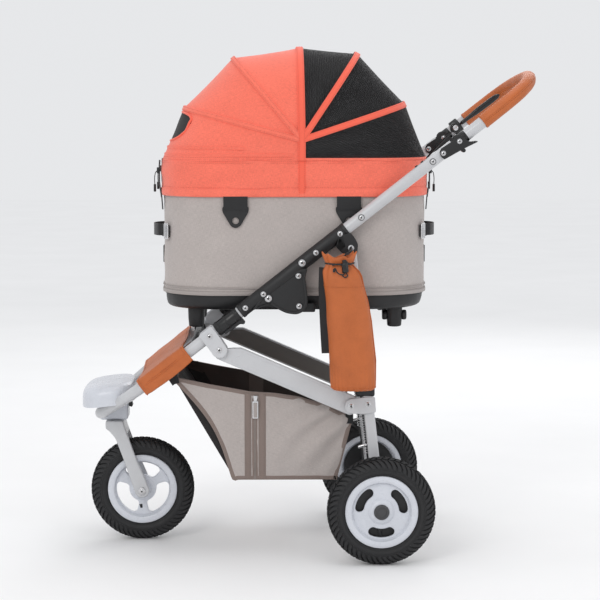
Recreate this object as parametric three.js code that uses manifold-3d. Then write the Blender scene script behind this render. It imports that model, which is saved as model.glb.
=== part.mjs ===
// Three-wheeled pet stroller with a lift-off fabric cot under a folding hood.
// Millimetres. +X runs from the front wheel to the handle, +Y to the pusher's right, +Z up.
// The origin is on the floor, below the middle of the stroller.
import * as THREE from 'three';
import { mergeVertices } from 'three/addons/utils/BufferGeometryUtils.js';
import Module from 'manifold-3d';

const wasm = await Module();
wasm.setup();

// ---------- driving dimensions ----------
const GAP = 0.35; // clearance between neighbouring pieces
const FRAME_Y = 178; // middle of the side frames, left and right
const TUBE_R = 12; // main frame tube
const HINGE = [-204.3, 463.0]; // fold hinge, on the axis of the main tube (x, z)
const TUBE_ANGLE = 38.06; // slope of the main tube, degrees
const RAIL_FRONT = [-184.5, 435.0]; // front end of the side rail
const RAIL_REAR = [85.3, 318.4]; // rear pivot of the side rail
const RAIL_HALF = 20; // half the rail's height
const LEG_TOP = [84.0, 643.7]; // upper bolt of the rear leg
const LEG_SIZE = 21; // square section of the rear leg
const WHEEL_R = 111; // all three wheels
const TYRE_WIDTH = 48;
const TRACK_Y = 242.5; // middle of each rear wheel
const REAR_AXLE = [145, WHEEL_R];
const FRONT_AXLE = [-355.4, WHEEL_R];
const SWIVEL_X = -413; // upright axis of the front fork
const HANDLE_HINGE_S = 644.4; // distance of the handle hinge from the fold hinge, along the tube
const COT = { x0: -304, x1: 246, half: 158, corner: 120, hem: 542, top: 812 };
const TRAY_BOTTOM = 512;
const BAND = { z0: 745, z1: 818, half: 162.8 };
const HOOD_PIVOT = [-15, 861.8];
const HOOD_HALF = 162.5; // outer half width of the hood's fabric
// hoops of the hood, front to rear: angle in degrees from +X, reach of the fabric, half width
const HOOPS = [
  { name: 'hood_rib_1', angle: 165.4, reach: 255, half: 156 },
  { name: 'hood_rib_2', angle: 130.2, reach: 221.5, half: 150 },
  { name: 'hood_rib_3', angle: 91, reach: 190, half: 144 },
  { name: 'hood_rib_4', angle: 56.2, reach: 214, half: 150 },
  { name: 'hood_rib_5', angle: 18.3, reach: 231, half: 156 },
];

// ---------- materials ----------
const paint = (color, roughness, metalness = 0) =>
  new THREE.MeshStandardMaterial({ color, roughness, metalness });
const FRAME_PAINT = () => paint(0xcdced0, 0.4, 0.3);
const BLACK = () => paint(0x232324, 0.5);
const WHITE_PLASTIC = () => paint(0xdcdee2, 0.35);
const LEATHER = () => paint(0xbe6632, 0.6);
const RUBBER = () => paint(0x262729, 0.85);
const CORAL = () => paint(0xee6b58, 0.9);
const GREIGE = () => paint(0xa79d98, 0.9);
const STEEL = () => paint(0xb8b8ba, 0.3, 0.9);

// ---------- solids ----------
// A closed geometry as a solid that can be cut and joined.
function solid(geometry) {
  let g = geometry.index ? geometry.toNonIndexed() : geometry.clone();
  g.deleteAttribute('normal');
  g.deleteAttribute('uv');
  g = mergeVertices(g, 1e-4);
  const vertProperties = new Float32Array(g.attributes.position.array);
  const triVerts = new Uint32Array(g.index.array);
  let volume = 0;
  const p = (i) => new THREE.Vector3().fromArray(vertProperties, 3 * i);
  for (let t = 0; t < triVerts.length; t += 3) {
    volume += p(triVerts[t]).dot(p(triVerts[t + 1]).cross(p(triVerts[t + 2])));
  }
  if (volume < 0) {
    for (let t = 0; t < triVerts.length; t += 3) {
      [triVerts[t], triVerts[t + 1]] = [triVerts[t + 1], triVerts[t]];
    }
  }
  return new wasm.Manifold(new wasm.Mesh({ numProp: 3, vertProperties, triVerts }));
}

function geometryOf(manifold) {
  const mesh = manifold.getMesh();
  const g = new THREE.BufferGeometry();
  g.setAttribute('position', new THREE.BufferAttribute(new Float32Array(mesh.vertProperties), 3));
  g.setIndex(new THREE.BufferAttribute(new Uint32Array(mesh.triVerts), 1));
  g.computeVertexNormals();
  return g;
}

const join = (...parts) => parts.reduce((a, b) => a.add(b));
const cut = (body, ...tools) => tools.reduce((a, b) => a.subtract(b), body);

// Point on the plane of a side frame, s along the main tube from the fold hinge and n above it.
const RAD = Math.PI / 180;
const U = [Math.cos(TUBE_ANGLE * RAD), Math.sin(TUBE_ANGLE * RAD)];
const onTube = (s, n = 0) => [HINGE[0] + s * U[0] - n * U[1], HINGE[1] + s * U[1] + n * U[0]];
const at = (s, y, n = 0) => {
  const [x, z] = onTube(s, n);
  return new THREE.Vector3(x, y, z);
};

function box(x0, x1, y0, y1, z0, z1) {
  const g = new THREE.BoxGeometry(x1 - x0, y1 - y0, z1 - z0);
  g.translate((x0 + x1) / 2, (y0 + y1) / 2, (z0 + z1) / 2);
  return solid(g);
}

// Cylinder between two points.
function rod(a, b, radius, sides = 16) {
  const dir = b.clone().sub(a);
  const g = new THREE.CylinderGeometry(radius, radius, dir.length(), sides);
  const q = new THREE.Quaternion();
  q.setFromUnitVectors(new THREE.Vector3(0, 1, 0), dir.clone().normalize());
  g.applyQuaternion(q);
  g.translate((a.x + b.x) / 2, (a.y + b.y) / 2, (a.z + b.z) / 2);
  return solid(g);
}

// Rod across the stroller at (x, z).
const crossRod = (xz, y0, y1, radius, sides = 16) =>
  rod(new THREE.Vector3(xz[0], y0, xz[1]), new THREE.Vector3(xz[0], y1, xz[1]), radius, sides);

// Outline in the side plane, extruded across the stroller from y0 to y1.
function plate(outline, y0, y1) {
  const shape = new THREE.Shape(outline.map(([x, z]) => new THREE.Vector2(x, z)));
  const g = new THREE.ExtrudeGeometry(shape, { depth: y1 - y0, bevelEnabled: false });
  g.rotateX(Math.PI / 2);
  g.translate(0, y1, 0);
  return solid(g);
}

const arc = (cx, cz, r, from, to, steps = 8) =>
  Array.from({ length: steps + 1 }, (_, i) => {
    const a = (from + ((to - from) * i) / steps) * RAD;
    return [cx + r * Math.cos(a), cz + r * Math.sin(a)];
  });

// Round tube along a path; bore > 0 makes it hollow and open at both ends.
function tube(points, radius, steps, sides = 12, bore = 0) {
  const path = new THREE.CatmullRomCurve3(points, false, 'centripetal');
  const ring = (r) =>
    Array.from({ length: sides }, (_, i) => {
      const a = (2 * Math.PI * (i + 0.5)) / sides;
      return new THREE.Vector2(r * Math.cos(a), r * Math.sin(a));
    });
  const shape = new THREE.Shape(ring(radius));
  if (bore > 0) {
    shape.holes.push(new THREE.Path(ring(bore).reverse()));
  }
  return solid(new THREE.ExtrudeGeometry(shape, { steps, extrudePath: path, bevelEnabled: false }));
}

// Straight hollow collar on a side tube between two distances from the hinge.
const collar = (s0, s1, y, outer, sides = 20) =>
  cut(rod(at(s0, y), at(s1, y), outer, sides), rod(at(s0 - 5, y), at(s1 + 5, y), TUBE_R + GAP, 20));

// Solid of revolution about the wheel axis through the centre (x, y, z).
function turned(profile, cx, cy, cz, segments = 40) {
  const g = new THREE.LatheGeometry(profile.map(([r, y]) => new THREE.Vector2(r, y)), segments);
  g.translate(cx, cy, cz);
  return solid(g);
}

// Skin through rows of points; rows are closed loops, and the first and last rows are capped flat.
function loft(rows) {
  const n = rows[0].length;
  const pos = rows.flat().flatMap((p) => [p[0], p[1], p[2]]);
  const index = [];
  for (let r = 0; r + 1 < rows.length; r += 1) {
    for (let i = 0; i < n; i += 1) {
      const a = r * n + i;
      const b = r * n + ((i + 1) % n);
      index.push(a, b, a + n, b, b + n, a + n);
    }
  }
  const cap = (row, base, flip) => {
    const o = new THREE.Vector3(...row[0]);
    const far = row.map((p) => new THREE.Vector3(...p).sub(o));
    const normal = new THREE.Vector3();
    for (let i = 0; i < n; i += 1) {
      normal.add(far[i].clone().cross(far[(i + 1) % n]));
    }
    normal.normalize();
    const q = new THREE.Quaternion().setFromUnitVectors(normal, new THREE.Vector3(0, 0, 1));
    const flat = far.map((v) => v.applyQuaternion(q)).map((v) => new THREE.Vector2(v.x, v.y));
    for (const [a, b, c] of THREE.ShapeUtils.triangulateShape(flat, [])) {
      index.push(base + a, base + (flip ? c : b), base + (flip ? b : c));
    }
  };
  cap(rows[0], 0, true);
  cap(rows[rows.length - 1], (rows.length - 1) * n, false);
  const g = new THREE.BufferGeometry();
  g.setAttribute('position', new THREE.Float32BufferAttribute(pos, 3));
  g.setIndex(index);
  return solid(g);
}

// Rounded rectangle seen from above, as a loop of points at height z.
function stadium(x0, x1, half, corner, z, steps = 7) {
  const c = Math.min(corner, half - 1);
  const loop = [
    ...arc(x1 - c, half - c, c, 0, 90, steps),
    ...arc(x0 + c, half - c, c, 90, 180, steps),
    ...arc(x0 + c, -half + c, c, 180, 270, steps),
    ...arc(x1 - c, -half + c, c, 270, 360, steps),
  ];
  return loop.map(([x, y]) => [x, y, z]);
}

// ---------- scene graph ----------
const stroller = new THREE.Group();
function node(parent, name, body, material) {
  const mesh = new THREE.Mesh(geometryOf(body), material);
  mesh.name = name;
  parent.add(mesh);
}
const sides = [
  ['left', -1],
  ['right', 1],
];
// y range on one side, given as distances from the middle plane
const span = (k, a, b) => (k < 0 ? [-b, -a] : [a, b]);

// ---------- handle frame: main tubes, brackets, rear legs, axle ----------
const chassis = new THREE.Group();
stroller.add(chassis);
const HANDLE_TUBE_END = 630;
const BRACKET = [80, 354]; // the black bracket's reach along the tube
const legX = (z) => LEG_TOP[0] + ((REAR_AXLE[0] - LEG_TOP[0]) * (LEG_TOP[1] - z)) / (LEG_TOP[1] - WHEEL_R);

function legSolid(k, grow = 0) {
  const h = LEG_SIZE / 2 + grow;
  const top = 660 + grow;
  const low = 94 - grow;
  const outline = [
    [legX(top) - h, top],
    [legX(low) - h, low],
    [legX(low) + h, low],
    [legX(top) + h, top],
  ];
  return plate(outline, ...span(k, FRAME_Y - h, FRAME_Y + h));
}

const LOBE = [
  [-119.6, 513.5],
  [-97.1, 525.1],
  [-80, 530],
  [-73, 524],
  [-62.5, 516.8],
  [-47, 509.5],
  ...arc(-29.8, 533.5, 26, 262, 358, 7),
  [-5.4, 561.8],
  [-9.4, 582.3],
  [-3.3, 602.7],
  [-20, 600],
  [-60, 570],
  [-100, 540],
];
const LUG = [
  [53.6, 645.5],
  [67.9, 631.2],
  ...arc(83, 640, 15, 230, 345, 6),
  [98.4, 651.6],
  [92, 664],
  [82, 675],
  [60, 668],
];
const DOCK = { x0: -52, x1: 12, z0: 510, z1: 529 }; // the cot rests on this block

for (const [side, k] of sides) {
  const y = k * FRAME_Y;
  const lower = rod(at(-9, y), at(HANDLE_TUBE_END, y), TUBE_R, 20);
  const eye = crossRod(HINGE, y - 20, y + 20, 5 + GAP);
  node(chassis, `handle_tube_${side}`, cut(lower, eye), FRAME_PAINT());

  const bore = rod(at(60, y), at(370, y), TUBE_R + GAP, 20);
  const lug = cut(plate(LUG, ...span(k, 163.6, 193)), legSolid(k, GAP));
  const dock = box(DOCK.x0, DOCK.x1, ...span(k, 141, 173), DOCK.z0, DOCK.z1);
  const bracket = join(
    rod(at(BRACKET[0], y), at(BRACKET[1], y), 14.4, 20),
    plate(LOBE, ...span(k, 172, 191)),
    lug,
    dock,
  );
  node(chassis, `bracket_${side}`, cut(bracket, bore), BLACK());

  const axleHole = crossRod(REAR_AXLE, y - 20, y + 20, 8 + GAP);
  node(chassis, `rear_leg_${side}`, cut(legSolid(k), axleHole), FRAME_PAINT());

  const rearPlate = [
    ...arc(88, 317.5, 15.5, 100, 250, 8),
    [110, 301],
    [136.7, 304.8],
    [134.3, 337.7],
    [112, 336],
  ];
  const pin = crossRod(RAIL_REAR, ...span(k, 166, 190), 5);
  node(chassis, `rear_plate_${side}`, join(plate(rearPlate, ...span(k, 188.9, 192.9)), pin), FRAME_PAINT());

  const cheek = [
    onTube(598, -11),
    onTube(640, -17.5),
    onTube(672.8, -24.3),
    onTube(673.5, -22.5),
    onTube(660, -14),
    onTube(657, -4),
    ...Array.from({ length: 7 }, (_, i) => {
      const a = (-10 + 25 * i) * RAD;
      return onTube(HANDLE_HINGE_S + 13.5 * Math.cos(a), 13.5 * Math.sin(a));
    }),
    onTube(606, 11),
    onTube(599, 7),
    onTube(596, -2),
  ];
  const housing = plate(cheek, y - 16, y + 16);
  const slot = plate(
    [onTube(580, -12.6), onTube(690, -12.6), onTube(690, 40), onTube(580, 40)],
    y - 12.6,
    y + 12.6,
  );
  node(chassis, `hinge_housing_${side}`, cut(housing, slot), BLACK());
}
const axle = turned(
  [
    [0, -262],
    [6, -262],
    [6, -213],
    [8, -213],
    [8, 213],
    [6, 213],
    [6, 262],
    [0, 262],
  ],
  REAR_AXLE[0],
  0,
  REAR_AXLE[1],
  16,
);
node(chassis, 'rear_axle', axle, STEEL());
const rearBarEnd = FRAME_Y - LEG_SIZE / 2 - GAP;
node(chassis, 'rear_cross_bar', crossRod([legX(352), 352], -rearBarEnd, rearBarEnd, 9), BLACK());

// Brake cables: the right one from the lever down the tube and the leg, the left one down its leg.
const legDown = (k, zTop) => [
  new THREE.Vector3(legX(zTop) - 10, k * 163.9, zTop),
  new THREE.Vector3(legX(480) - 13, k * 163.9, 480),
  new THREE.Vector3(legX(330) - 13, k * 163.9, 330),
  new THREE.Vector3(legX(215) - 13, k * 163.9, 215),
  new THREE.Vector3(legX(140) - 13, k * 163.9, 140),
];
const rightRoute = [
  at(664, 141, 0),
  at(640, 146, -3),
  at(600, 156, -10),
  at(560, 168, -17),
  at(500, 176, -16.5),
  at(400, 176, -16.5),
  at(374, 175, -19),
  new THREE.Vector3(103, 169, 645),
  new THREE.Vector3(100, 163.9, 610),
  ...legDown(1, 560),
];
node(chassis, 'brake_cable_right', tube(rightRoute, 2.2, 34, 6), BLACK());
node(chassis, 'brake_cable_left', tube(legDown(-1, 600), 2.2, 8, 6), BLACK());

// ---------- lock sleeves over the fold hinge ----------
for (const [side, k] of sides) {
  const y = k * FRAME_Y;
  const lever = [
    onTube(27, -13),
    onTube(28, -18),
    onTube(64, -19.5),
    onTube(70, -25),
    onTube(75, -23),
    onTube(74.5, -13),
  ];
  const ring = rod(at(17.5, y), at(75, y), 14.4, 20);
  const body = cut(join(ring, plate(lever, y - 7, y + 7)), rod(at(0, y), at(90, y), TUBE_R + GAP, 20));
  node(stroller, `lock_sleeve_${side}`, body, BLACK());
}

// ---------- side rails and basket ----------
const railDir = Math.atan2(RAIL_REAR[1] - RAIL_FRONT[1], RAIL_REAR[0] - RAIL_FRONT[0]);
const onRail = (t, h) => [
  RAIL_FRONT[0] + t * Math.cos(railDir) - h * Math.sin(railDir),
  RAIL_FRONT[1] + t * Math.sin(railDir) + h * Math.cos(railDir),
];
const railLength = Math.hypot(RAIL_REAR[0] - RAIL_FRONT[0], RAIL_REAR[1] - RAIL_FRONT[1]);
const railOutline = [
  onRail(-6, -12),
  onRail(2, -RAIL_HALF),
  onRail(railLength + 6, -RAIL_HALF),
  onRail(railLength + 14, -12),
  onRail(railLength + 17, 0),
  onRail(railLength + 14, 12),
  onRail(railLength + 6, RAIL_HALF),
  onRail(40, RAIL_HALF),
  onRail(24, 12.8),
  onRail(4, 2.5),
  onRail(-6, 0),
];
for (const [side, k] of sides) {
  const hole = crossRod(RAIL_REAR, ...span(k, 150, 200), 5 + GAP);
  node(stroller, `rail_${side}`, cut(plate(railOutline, ...span(k, 170, 186.5)), hole), FRAME_PAINT());
}

const BASKET_Y = 156;
const SKIN = 3;
const basketSide = [
  [-285, 373],
  [-205.5, 232],
  [-158, 156],
  [56, 156],
  [89, 284],
  [40, 312],
  [-20, 330],
  [-122, 341],
];
const basketInner = [
  [-292, 395],
  [-202.6, 233.5],
  [-156.3, 156 + SKIN],
  [53.6, 156 + SKIN],
  [84, 275],
  [88, 300],
  [70, 420],
];
const basket = cut(
  plate(basketSide, -BASKET_Y, BASKET_Y),
  plate(basketInner, -BASKET_Y + SKIN, BASKET_Y - SKIN),
);
node(stroller, 'basket', basket, GREIGE());

// ---------- front frame ----------
const front = new THREE.Group();
stroller.add(front);
// half width of the front tube at each distance in front of the hinge
const TAPER = [
  [-16, 178],
  [-60, 176],
  [-120, 168],
  [-170, 156],
  [-205, 133],
  [-240, 98],
  [-275, 60],
  [-298, 28],
  [-305, 0],
];
const frontPath = [
  ...TAPER.map(([s, w]) => at(s, -w)),
  ...TAPER.slice(0, -1)
    .reverse()
    .map(([s, w]) => at(s, w)),
];
node(front, 'front_tube', tube(frontPath, TUBE_R, 28, 12), FRAME_PAINT());
const fatTube = tube(frontPath, TUBE_R + 0.8, 28, 12);

const jointPlate = [
  onTube(-17, 13),
  onTube(-17, -14),
  ...arc(RAIL_FRONT[0], RAIL_FRONT[1], 16.5, 200, 370, 9),
  onTube(15.5, -12),
  onTube(15.5, 13),
  onTube(12, 15),
  onTube(-14, 15),
];
for (const [side, k] of sides) {
  const body = join(
    plate(jointPlate, ...span(k, 192.8, 196.4)),
    plate(jointPlate, ...span(k, 159.6, 163.2)),
    crossRod(HINGE, ...span(k, 160, 196), 5),
  );
  node(front, `joint_plate_${side}`, body, FRAME_PAINT());
}
const barEnd = 164;
node(front, 'front_cross_bar', crossRod(onTube(-40), -barEnd, barEnd, 9), BLACK());

// Leather cover: a flat skin over the two front tubes that turns down round their outer sides.
const widthAt = (s) => {
  const i = TAPER.findIndex(([t]) => t <= s);
  const [s1, w1] = TAPER[i - 1];
  const [s2, w2] = TAPER[i];
  return w1 + ((w2 - w1) * (s - s1)) / (s2 - s1);
};
const coverRows = [-57, -90, -120, -150, -180].map((s) => {
  const w = widthAt(s);
  const section = [
    [w + 15.2, -15],
    [w + 15.2, 10],
    [w + 8, 16.5],
    [-w - 8, 16.5],
    [-w - 15.2, 10],
    [-w - 15.2, -15],
    [-w - 12.9, -15],
    [-w - 12.9, 9],
    [-w - 7, 13.4],
    [w + 7, 13.4],
    [w + 12.9, 9],
    [w + 12.9, -15],
  ];
  return section.map(([y, n]) => at(s, y, n).toArray());
});
node(front, 'front_cover', cut(loft(coverRows), fatTube), LEATHER());

const STEM_TOP = 300;
const headBlock = [
  [-442, 262.7],
  [-384, 262.7],
  [-384, 318],
  [-398, 334],
  [-432, 334],
  [-446, 318],
  [-446, 270],
];
const stemBore = rod(
  new THREE.Vector3(SWIVEL_X, 0, 250),
  new THREE.Vector3(SWIVEL_X, 0, STEM_TOP + 1),
  11.5,
);
node(front, 'head_block', cut(plate(headBlock, -27, 27), stemBore, fatTube), WHITE_PLASTIC());

// Fender: a rounded shell with a turned-down rim, lower at its front.
function fenderRow(z, ax, ay) {
  const n = 32;
  return Array.from({ length: n }, (_, i) => {
    const a = (2 * Math.PI * i) / n;
    const c = Math.cos(a);
    const s = Math.sin(a);
    const x = ax * Math.sign(c) * Math.abs(c) ** 0.65;
    const y = ay * Math.sign(s) * Math.abs(s) ** 0.65;
    return [-423 + x, y, z + x * 0.12];
  });
}
const fenderRows = [
  fenderRow(304, 57, 103),
  fenderRow(326, 57, 103),
  fenderRow(337, 54, 99),
  fenderRow(344, 46, 88),
  fenderRow(347, 28, 62),
  fenderRow(344.2, 27, 61),
  fenderRow(341, 44, 86),
  fenderRow(335, 52, 96),
  fenderRow(325, 54, 100),
  fenderRow(304, 54, 100),
];
const fenderOuter = loft(fenderRows.slice(0, 5));
const fenderInner = loft(fenderRows.slice(5).reverse().map((r, i) => (i ? r : r.map(([x, y]) => [x, y, 280]))));
node(front, 'fender', cut(fenderOuter, fenderInner, fatTube), WHITE_PLASTIC());

node(stroller, 'swivel_lock', plate([[-383.6, 304], [-379, 304], [-375, 292], [-377, 288], [-383.6, 290]], -9, 9), BLACK());

// ---------- front fork and wheel ----------
const blade = [
  [-432, 262.3],
  [-394, 262.3],
  [-391, 248],
  [-383, 226],
  [-366, 178],
  [-347, 134],
  ...arc(FRONT_AXLE[0], FRONT_AXLE[1], 15.5, 40, -170, 10),
  [-378, 130],
  [-393, 175],
  [-411, 224],
  [-424, 240],
  [-432, 245],
];
const crown = [
  [-432, 262.3],
  [-394, 262.3],
  [-391, 248],
  [-385, 232],
  [-415, 232],
  [-424, 240],
  [-432, 245],
];
const fork = join(
  plate(blade, -37, -29),
  plate(blade, 29, 37),
  plate(crown, -37, 37),
  rod(new THREE.Vector3(SWIVEL_X, 0, 255), new THREE.Vector3(SWIVEL_X, 0, STEM_TOP), 11),
  crossRod(FRONT_AXLE, -43, 43, 5),
  crossRod(FRONT_AXLE, -42, -36, 9, 6),
  crossRod(FRONT_AXLE, 36, 42, 9, 6),
);
const caster = new THREE.Group();
stroller.add(caster);
node(caster, 'fork', fork, FRAME_PAINT());

function tyre(cx, cy, cz, width) {
  const w = width / 2;
  const half = [
    [75.6, 0.8 * w],
    [84, 0.95 * w],
    [93, w],
    [102, 0.86 * w],
    [108.5, 0.55 * w],
    [WHEEL_R, 0.16 * w],
  ];
  const profile = [...half, ...half.map(([r, y]) => [r, -y]).reverse(), half[0]];
  return turned(profile, cx, cy, cz, 32);
}

// Wheel body: rim barrel, web and hub; the web sits towards the side "out" (-1 or +1).
function rim(cx, cy, cz, width, out, hubHalf, boreR, web) {
  const w = 0.78 * (width / 2);
  const y = (v) => v * out;
  const profile = [
    [boreR, -hubHalf],
    [18, -hubHalf],
    [20, y(web[0]) * out < 0 ? web[0] : web[0]],
    [60, web[0]],
    [64, -w],
    [75, -w],
    [75, w],
    [61, w],
    [58, web[1]],
    [24, web[1]],
    [22, hubHalf],
    [boreR, hubHalf],
    [boreR, -hubHalf],
  ].map(([r, v]) => [r, y(v)]);
  return turned(profile, cx, cy, cz, 32);
}

// Curved slot through a wheel web, from radius r0 to r1, centred on an angle.
function kidney(cx, cy, cz, r0, r1, centre, half) {
  const outline = [
    ...arc(cx, cz, r1, centre - half, centre + half, 8),
    ...arc(cx, cz, r0, centre + half, centre - half, 6),
  ];
  return plate(outline, cy - 40, cy + 40);
}

const frontWheel = new THREE.Group();
stroller.add(frontWheel);
let frontRim = rim(FRONT_AXLE[0], 0, FRONT_AXLE[1], 45, -1, 26, 5 + GAP, [-6, 8]);
for (const centre of [30, 150, 270]) {
  frontRim = cut(frontRim, kidney(FRONT_AXLE[0], 0, FRONT_AXLE[1], 29, 56.5, centre + 60, 46));
}
node(frontWheel, 'front_rim', frontRim, WHITE_PLASTIC());
node(frontWheel, 'front_tyre', tyre(FRONT_AXLE[0], 0, FRONT_AXLE[1], 45), RUBBER());

for (const [side, k] of sides) {
  const wheel = new THREE.Group();
  stroller.add(wheel);
  const y = k * TRACK_Y;
  let body = rim(REAR_AXLE[0], y, REAR_AXLE[1], TYRE_WIDTH, k, 17, 6 + GAP, [4, 11]);
  for (const centre of [29, 147, 270]) {
    body = cut(body, kidney(REAR_AXLE[0], y, REAR_AXLE[1], 36, 54, centre, 34));
  }
  node(wheel, `rear_rim_${side}`, body, WHITE_PLASTIC());
  node(wheel, `rear_tyre_${side}`, tyre(REAR_AXLE[0], y, REAR_AXLE[1], TYRE_WIDTH), RUBBER());
  const cap = turned([[0, 23], [10, 23], [15.5, 20.5], [15.5, 17.4], [6.4, 17.4], [6.4, 20], [0, 20]]
    .map(([r, v]) => [r, v * k]), REAR_AXLE[0], y, REAR_AXLE[1], 24);
  node(wheel, `hub_cap_${side}`, cap, BLACK());
}

// ---------- upper handle ----------
const upper = new THREE.Group();
stroller.add(upper);
const BEND = [
  [651, 0, 178],
  [707, 0, 178],
  [762, 0.2, 176],
  [798, 0.5, 163],
  [825, 1, 130],
  [842, 1.5, 75],
  [851.9, 1.8, 0],
];
const bendPath = (from) => {
  const one = BEND.slice(from);
  return [
    ...one.map(([s, n, y]) => at(s, -y, n)),
    ...one.slice(0, -1).reverse().map(([s, n, y]) => at(s, y, n)),
  ];
};
node(upper, 'handle_bow', tube(bendPath(0), TUBE_R, 26, 12), FRAME_PAINT());
node(upper, 'handle_grip', tube(bendPath(1), 15, 24, 12, TUBE_R + 1), LEATHER());
const clampRing = cut(
  rod(at(672, FRAME_Y), at(692, FRAME_Y), 17, 16),
  rod(at(660, FRAME_Y), at(700, FRAME_Y), TUBE_R + 2 * GAP, 20),
);
const boss = rod(at(677, 141, 2), at(677, 162, 2), 11);
node(upper, 'brake_clamp', join(clampRing, boss), BLACK());
const leverRows = [
  [690.5, 144, 9, 5],
  [712, 143, 9, 5],
  [740, 139, 13, 6],
  [775, 130, 13, 6],
  [796, 121, 10, 5],
].map(([s, y, h, t]) => {
  const corners = [[-1, -1], [1, -1], [1, 1], [-1, 1]];
  return corners.map(([a, b]) => at(s, y + (a * t) / 1, 2 + (b * h) / 2).toArray());
});
node(stroller, 'brake_lever', loft(leverRows), BLACK());

// ---------- cot ----------
const cot = new THREE.Group();
stroller.add(cot);
const WALL = 5;
const ringBody = (z0, z1, grow0, grow1, thick) => {
  const outer = loft([
    stadium(COT.x0 - grow0, COT.x1 + grow0, COT.half + grow0, COT.corner, z0),
    stadium(COT.x0 - grow1, COT.x1 + grow1, COT.half + grow1, COT.corner, z1),
  ]);
  const inner = loft([
    stadium(COT.x0 - grow0 + thick, COT.x1 + grow0 - thick, COT.half + grow0 - thick, COT.corner - thick, z0 - 1),
    stadium(COT.x0 - grow1 + thick, COT.x1 + grow1 - thick, COT.half + grow1 - thick, COT.corner - thick, z1 + 1),
  ]);
  return cut(outer, inner);
};
node(cot, 'cot_wall', ringBody(COT.hem, COT.top, 0, 0, WALL), GREIGE());
node(cot, 'cot_band', ringBody(BAND.z0, BAND.z1, BAND.half - COT.half, 3, BAND.half - COT.half - GAP > 0 ? 2.6 : 2), CORAL());

const trayShell = cut(
  loft([
    stadium(-292, 228, 140, 110, TRAY_BOTTOM),
    stadium(-298, 238, 151, 115, TRAY_BOTTOM + 9),
    stadium(-300, 242, 154.5, 118, COT.hem - GAP),
  ]),
  loft([
    stadium(-286, 228, 140, 108, TRAY_BOTTOM + 25),
    stadium(-286, 228, 140, 108, COT.hem + 5),
  ]),
  ...sides.map(([, k]) =>
    box(DOCK.x0 - 2, DOCK.x1 + 2, ...span(k, 139, 200), TRAY_BOTTOM - 20, DOCK.z1 + GAP)),
);
const foot = (x0, x1, y) =>
  loft([
    stadium(x0 + 3, x1 - 3, 12, 8, 472, 2).map(([px, py, pz]) => [px, py + y, pz]),
    stadium(x0, x1, 15, 10, TRAY_BOTTOM + 4, 2).map(([px, py, pz]) => [px, py + y, pz]),
  ]);
const tray = join(trayShell, foot(-252, -217, -90), foot(-252, -217, 90), foot(163, 196, -90), foot(163, 196, 90));
node(cot, 'tray', tray, BLACK());
const matRows = [
  stadium(-284, 226, 138, 106, TRAY_BOTTOM + 25 + GAP),
  stadium(-290, 232, 144, 108, 541),
  stadium(-290, 232, 144, 108, 556),
  stadium(-282, 224, 136, 102, 562),
];
matRows[1] = stadium(-284, 226, 138, 106, 541);
node(cot, 'mat', loft(matRows), GREIGE());

for (const [side, k] of sides) {
  const stay = join(
    box(-29, -1, ...span(k, 136, 152.6), 700, 790),
    box(-27, -3, ...span(k, 133.5, 137.5), 780, 868),
    crossRod(HOOD_PIVOT, ...span(k, 134, 161), 9),
  );
  node(cot, `hood_stay_${side}`, stay, BLACK());
  for (const [end, x] of [['front', -151], ['rear', 81]]) {
    const strap = plate(
      [[x - 26, 744.6], [x - 26, 715], [x - 9, 684], [x + 9, 684], [x + 26, 715], [x + 26, 744.6]],
      ...span(k, COT.half + GAP, COT.half + 4.4),
    );
    const hole = crossRod([x, 697], k * 158 - 10, k * 158 + 10, 7.5);
    node(cot, `cot_hook_${end}_${side}`, cut(strap, hole), BLACK());
  }
}

// ---------- hood ----------
// Point on a hoop: t from 0 at the left end over the top to 1 at the right end.
function hoopPoint(angle, reach, half, t) {
  const f = Math.PI * t;
  const out = reach * Math.sin(f) ** 0.85;
  const y = -half * Math.sign(Math.cos(f)) * Math.abs(Math.cos(f)) ** 0.8;
  return new THREE.Vector3(
    HOOD_PIVOT[0] + out * Math.cos(angle * RAD),
    y,
    HOOD_PIVOT[1] + out * Math.sin(angle * RAD),
  );
}
const RIB_R = 2.5;
for (const hoop of HOOPS) {
  const group = new THREE.Group();
  stroller.add(group);
  const steps = 17;
  const points = Array.from({ length: steps }, (_, i) =>
    hoopPoint(hoop.angle, hoop.reach - 7, hoop.half, 0.015 + (0.97 * i) / (steps - 1)));
  node(group, hoop.name, tube(points, RIB_R, 20, 6), STEEL());
}

// Fabric shells: a fan of ruled sectors, from the cot's rim over the hoops.
const COUNT = 21;
const T0 = 0.02;
const stations = Array.from({ length: COUNT }, (_, i) => T0 + ((1 - 2 * T0) * i) / (COUNT - 1));
const hoopRow = (angle, reach) => {
  const row = (r, half) => stations.map((t) => hoopPoint(angle, r, half, t).toArray());
  return [...row(reach, HOOD_HALF), ...row(reach - 3, HOOD_HALF - 2.6).reverse()];
};
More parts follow.
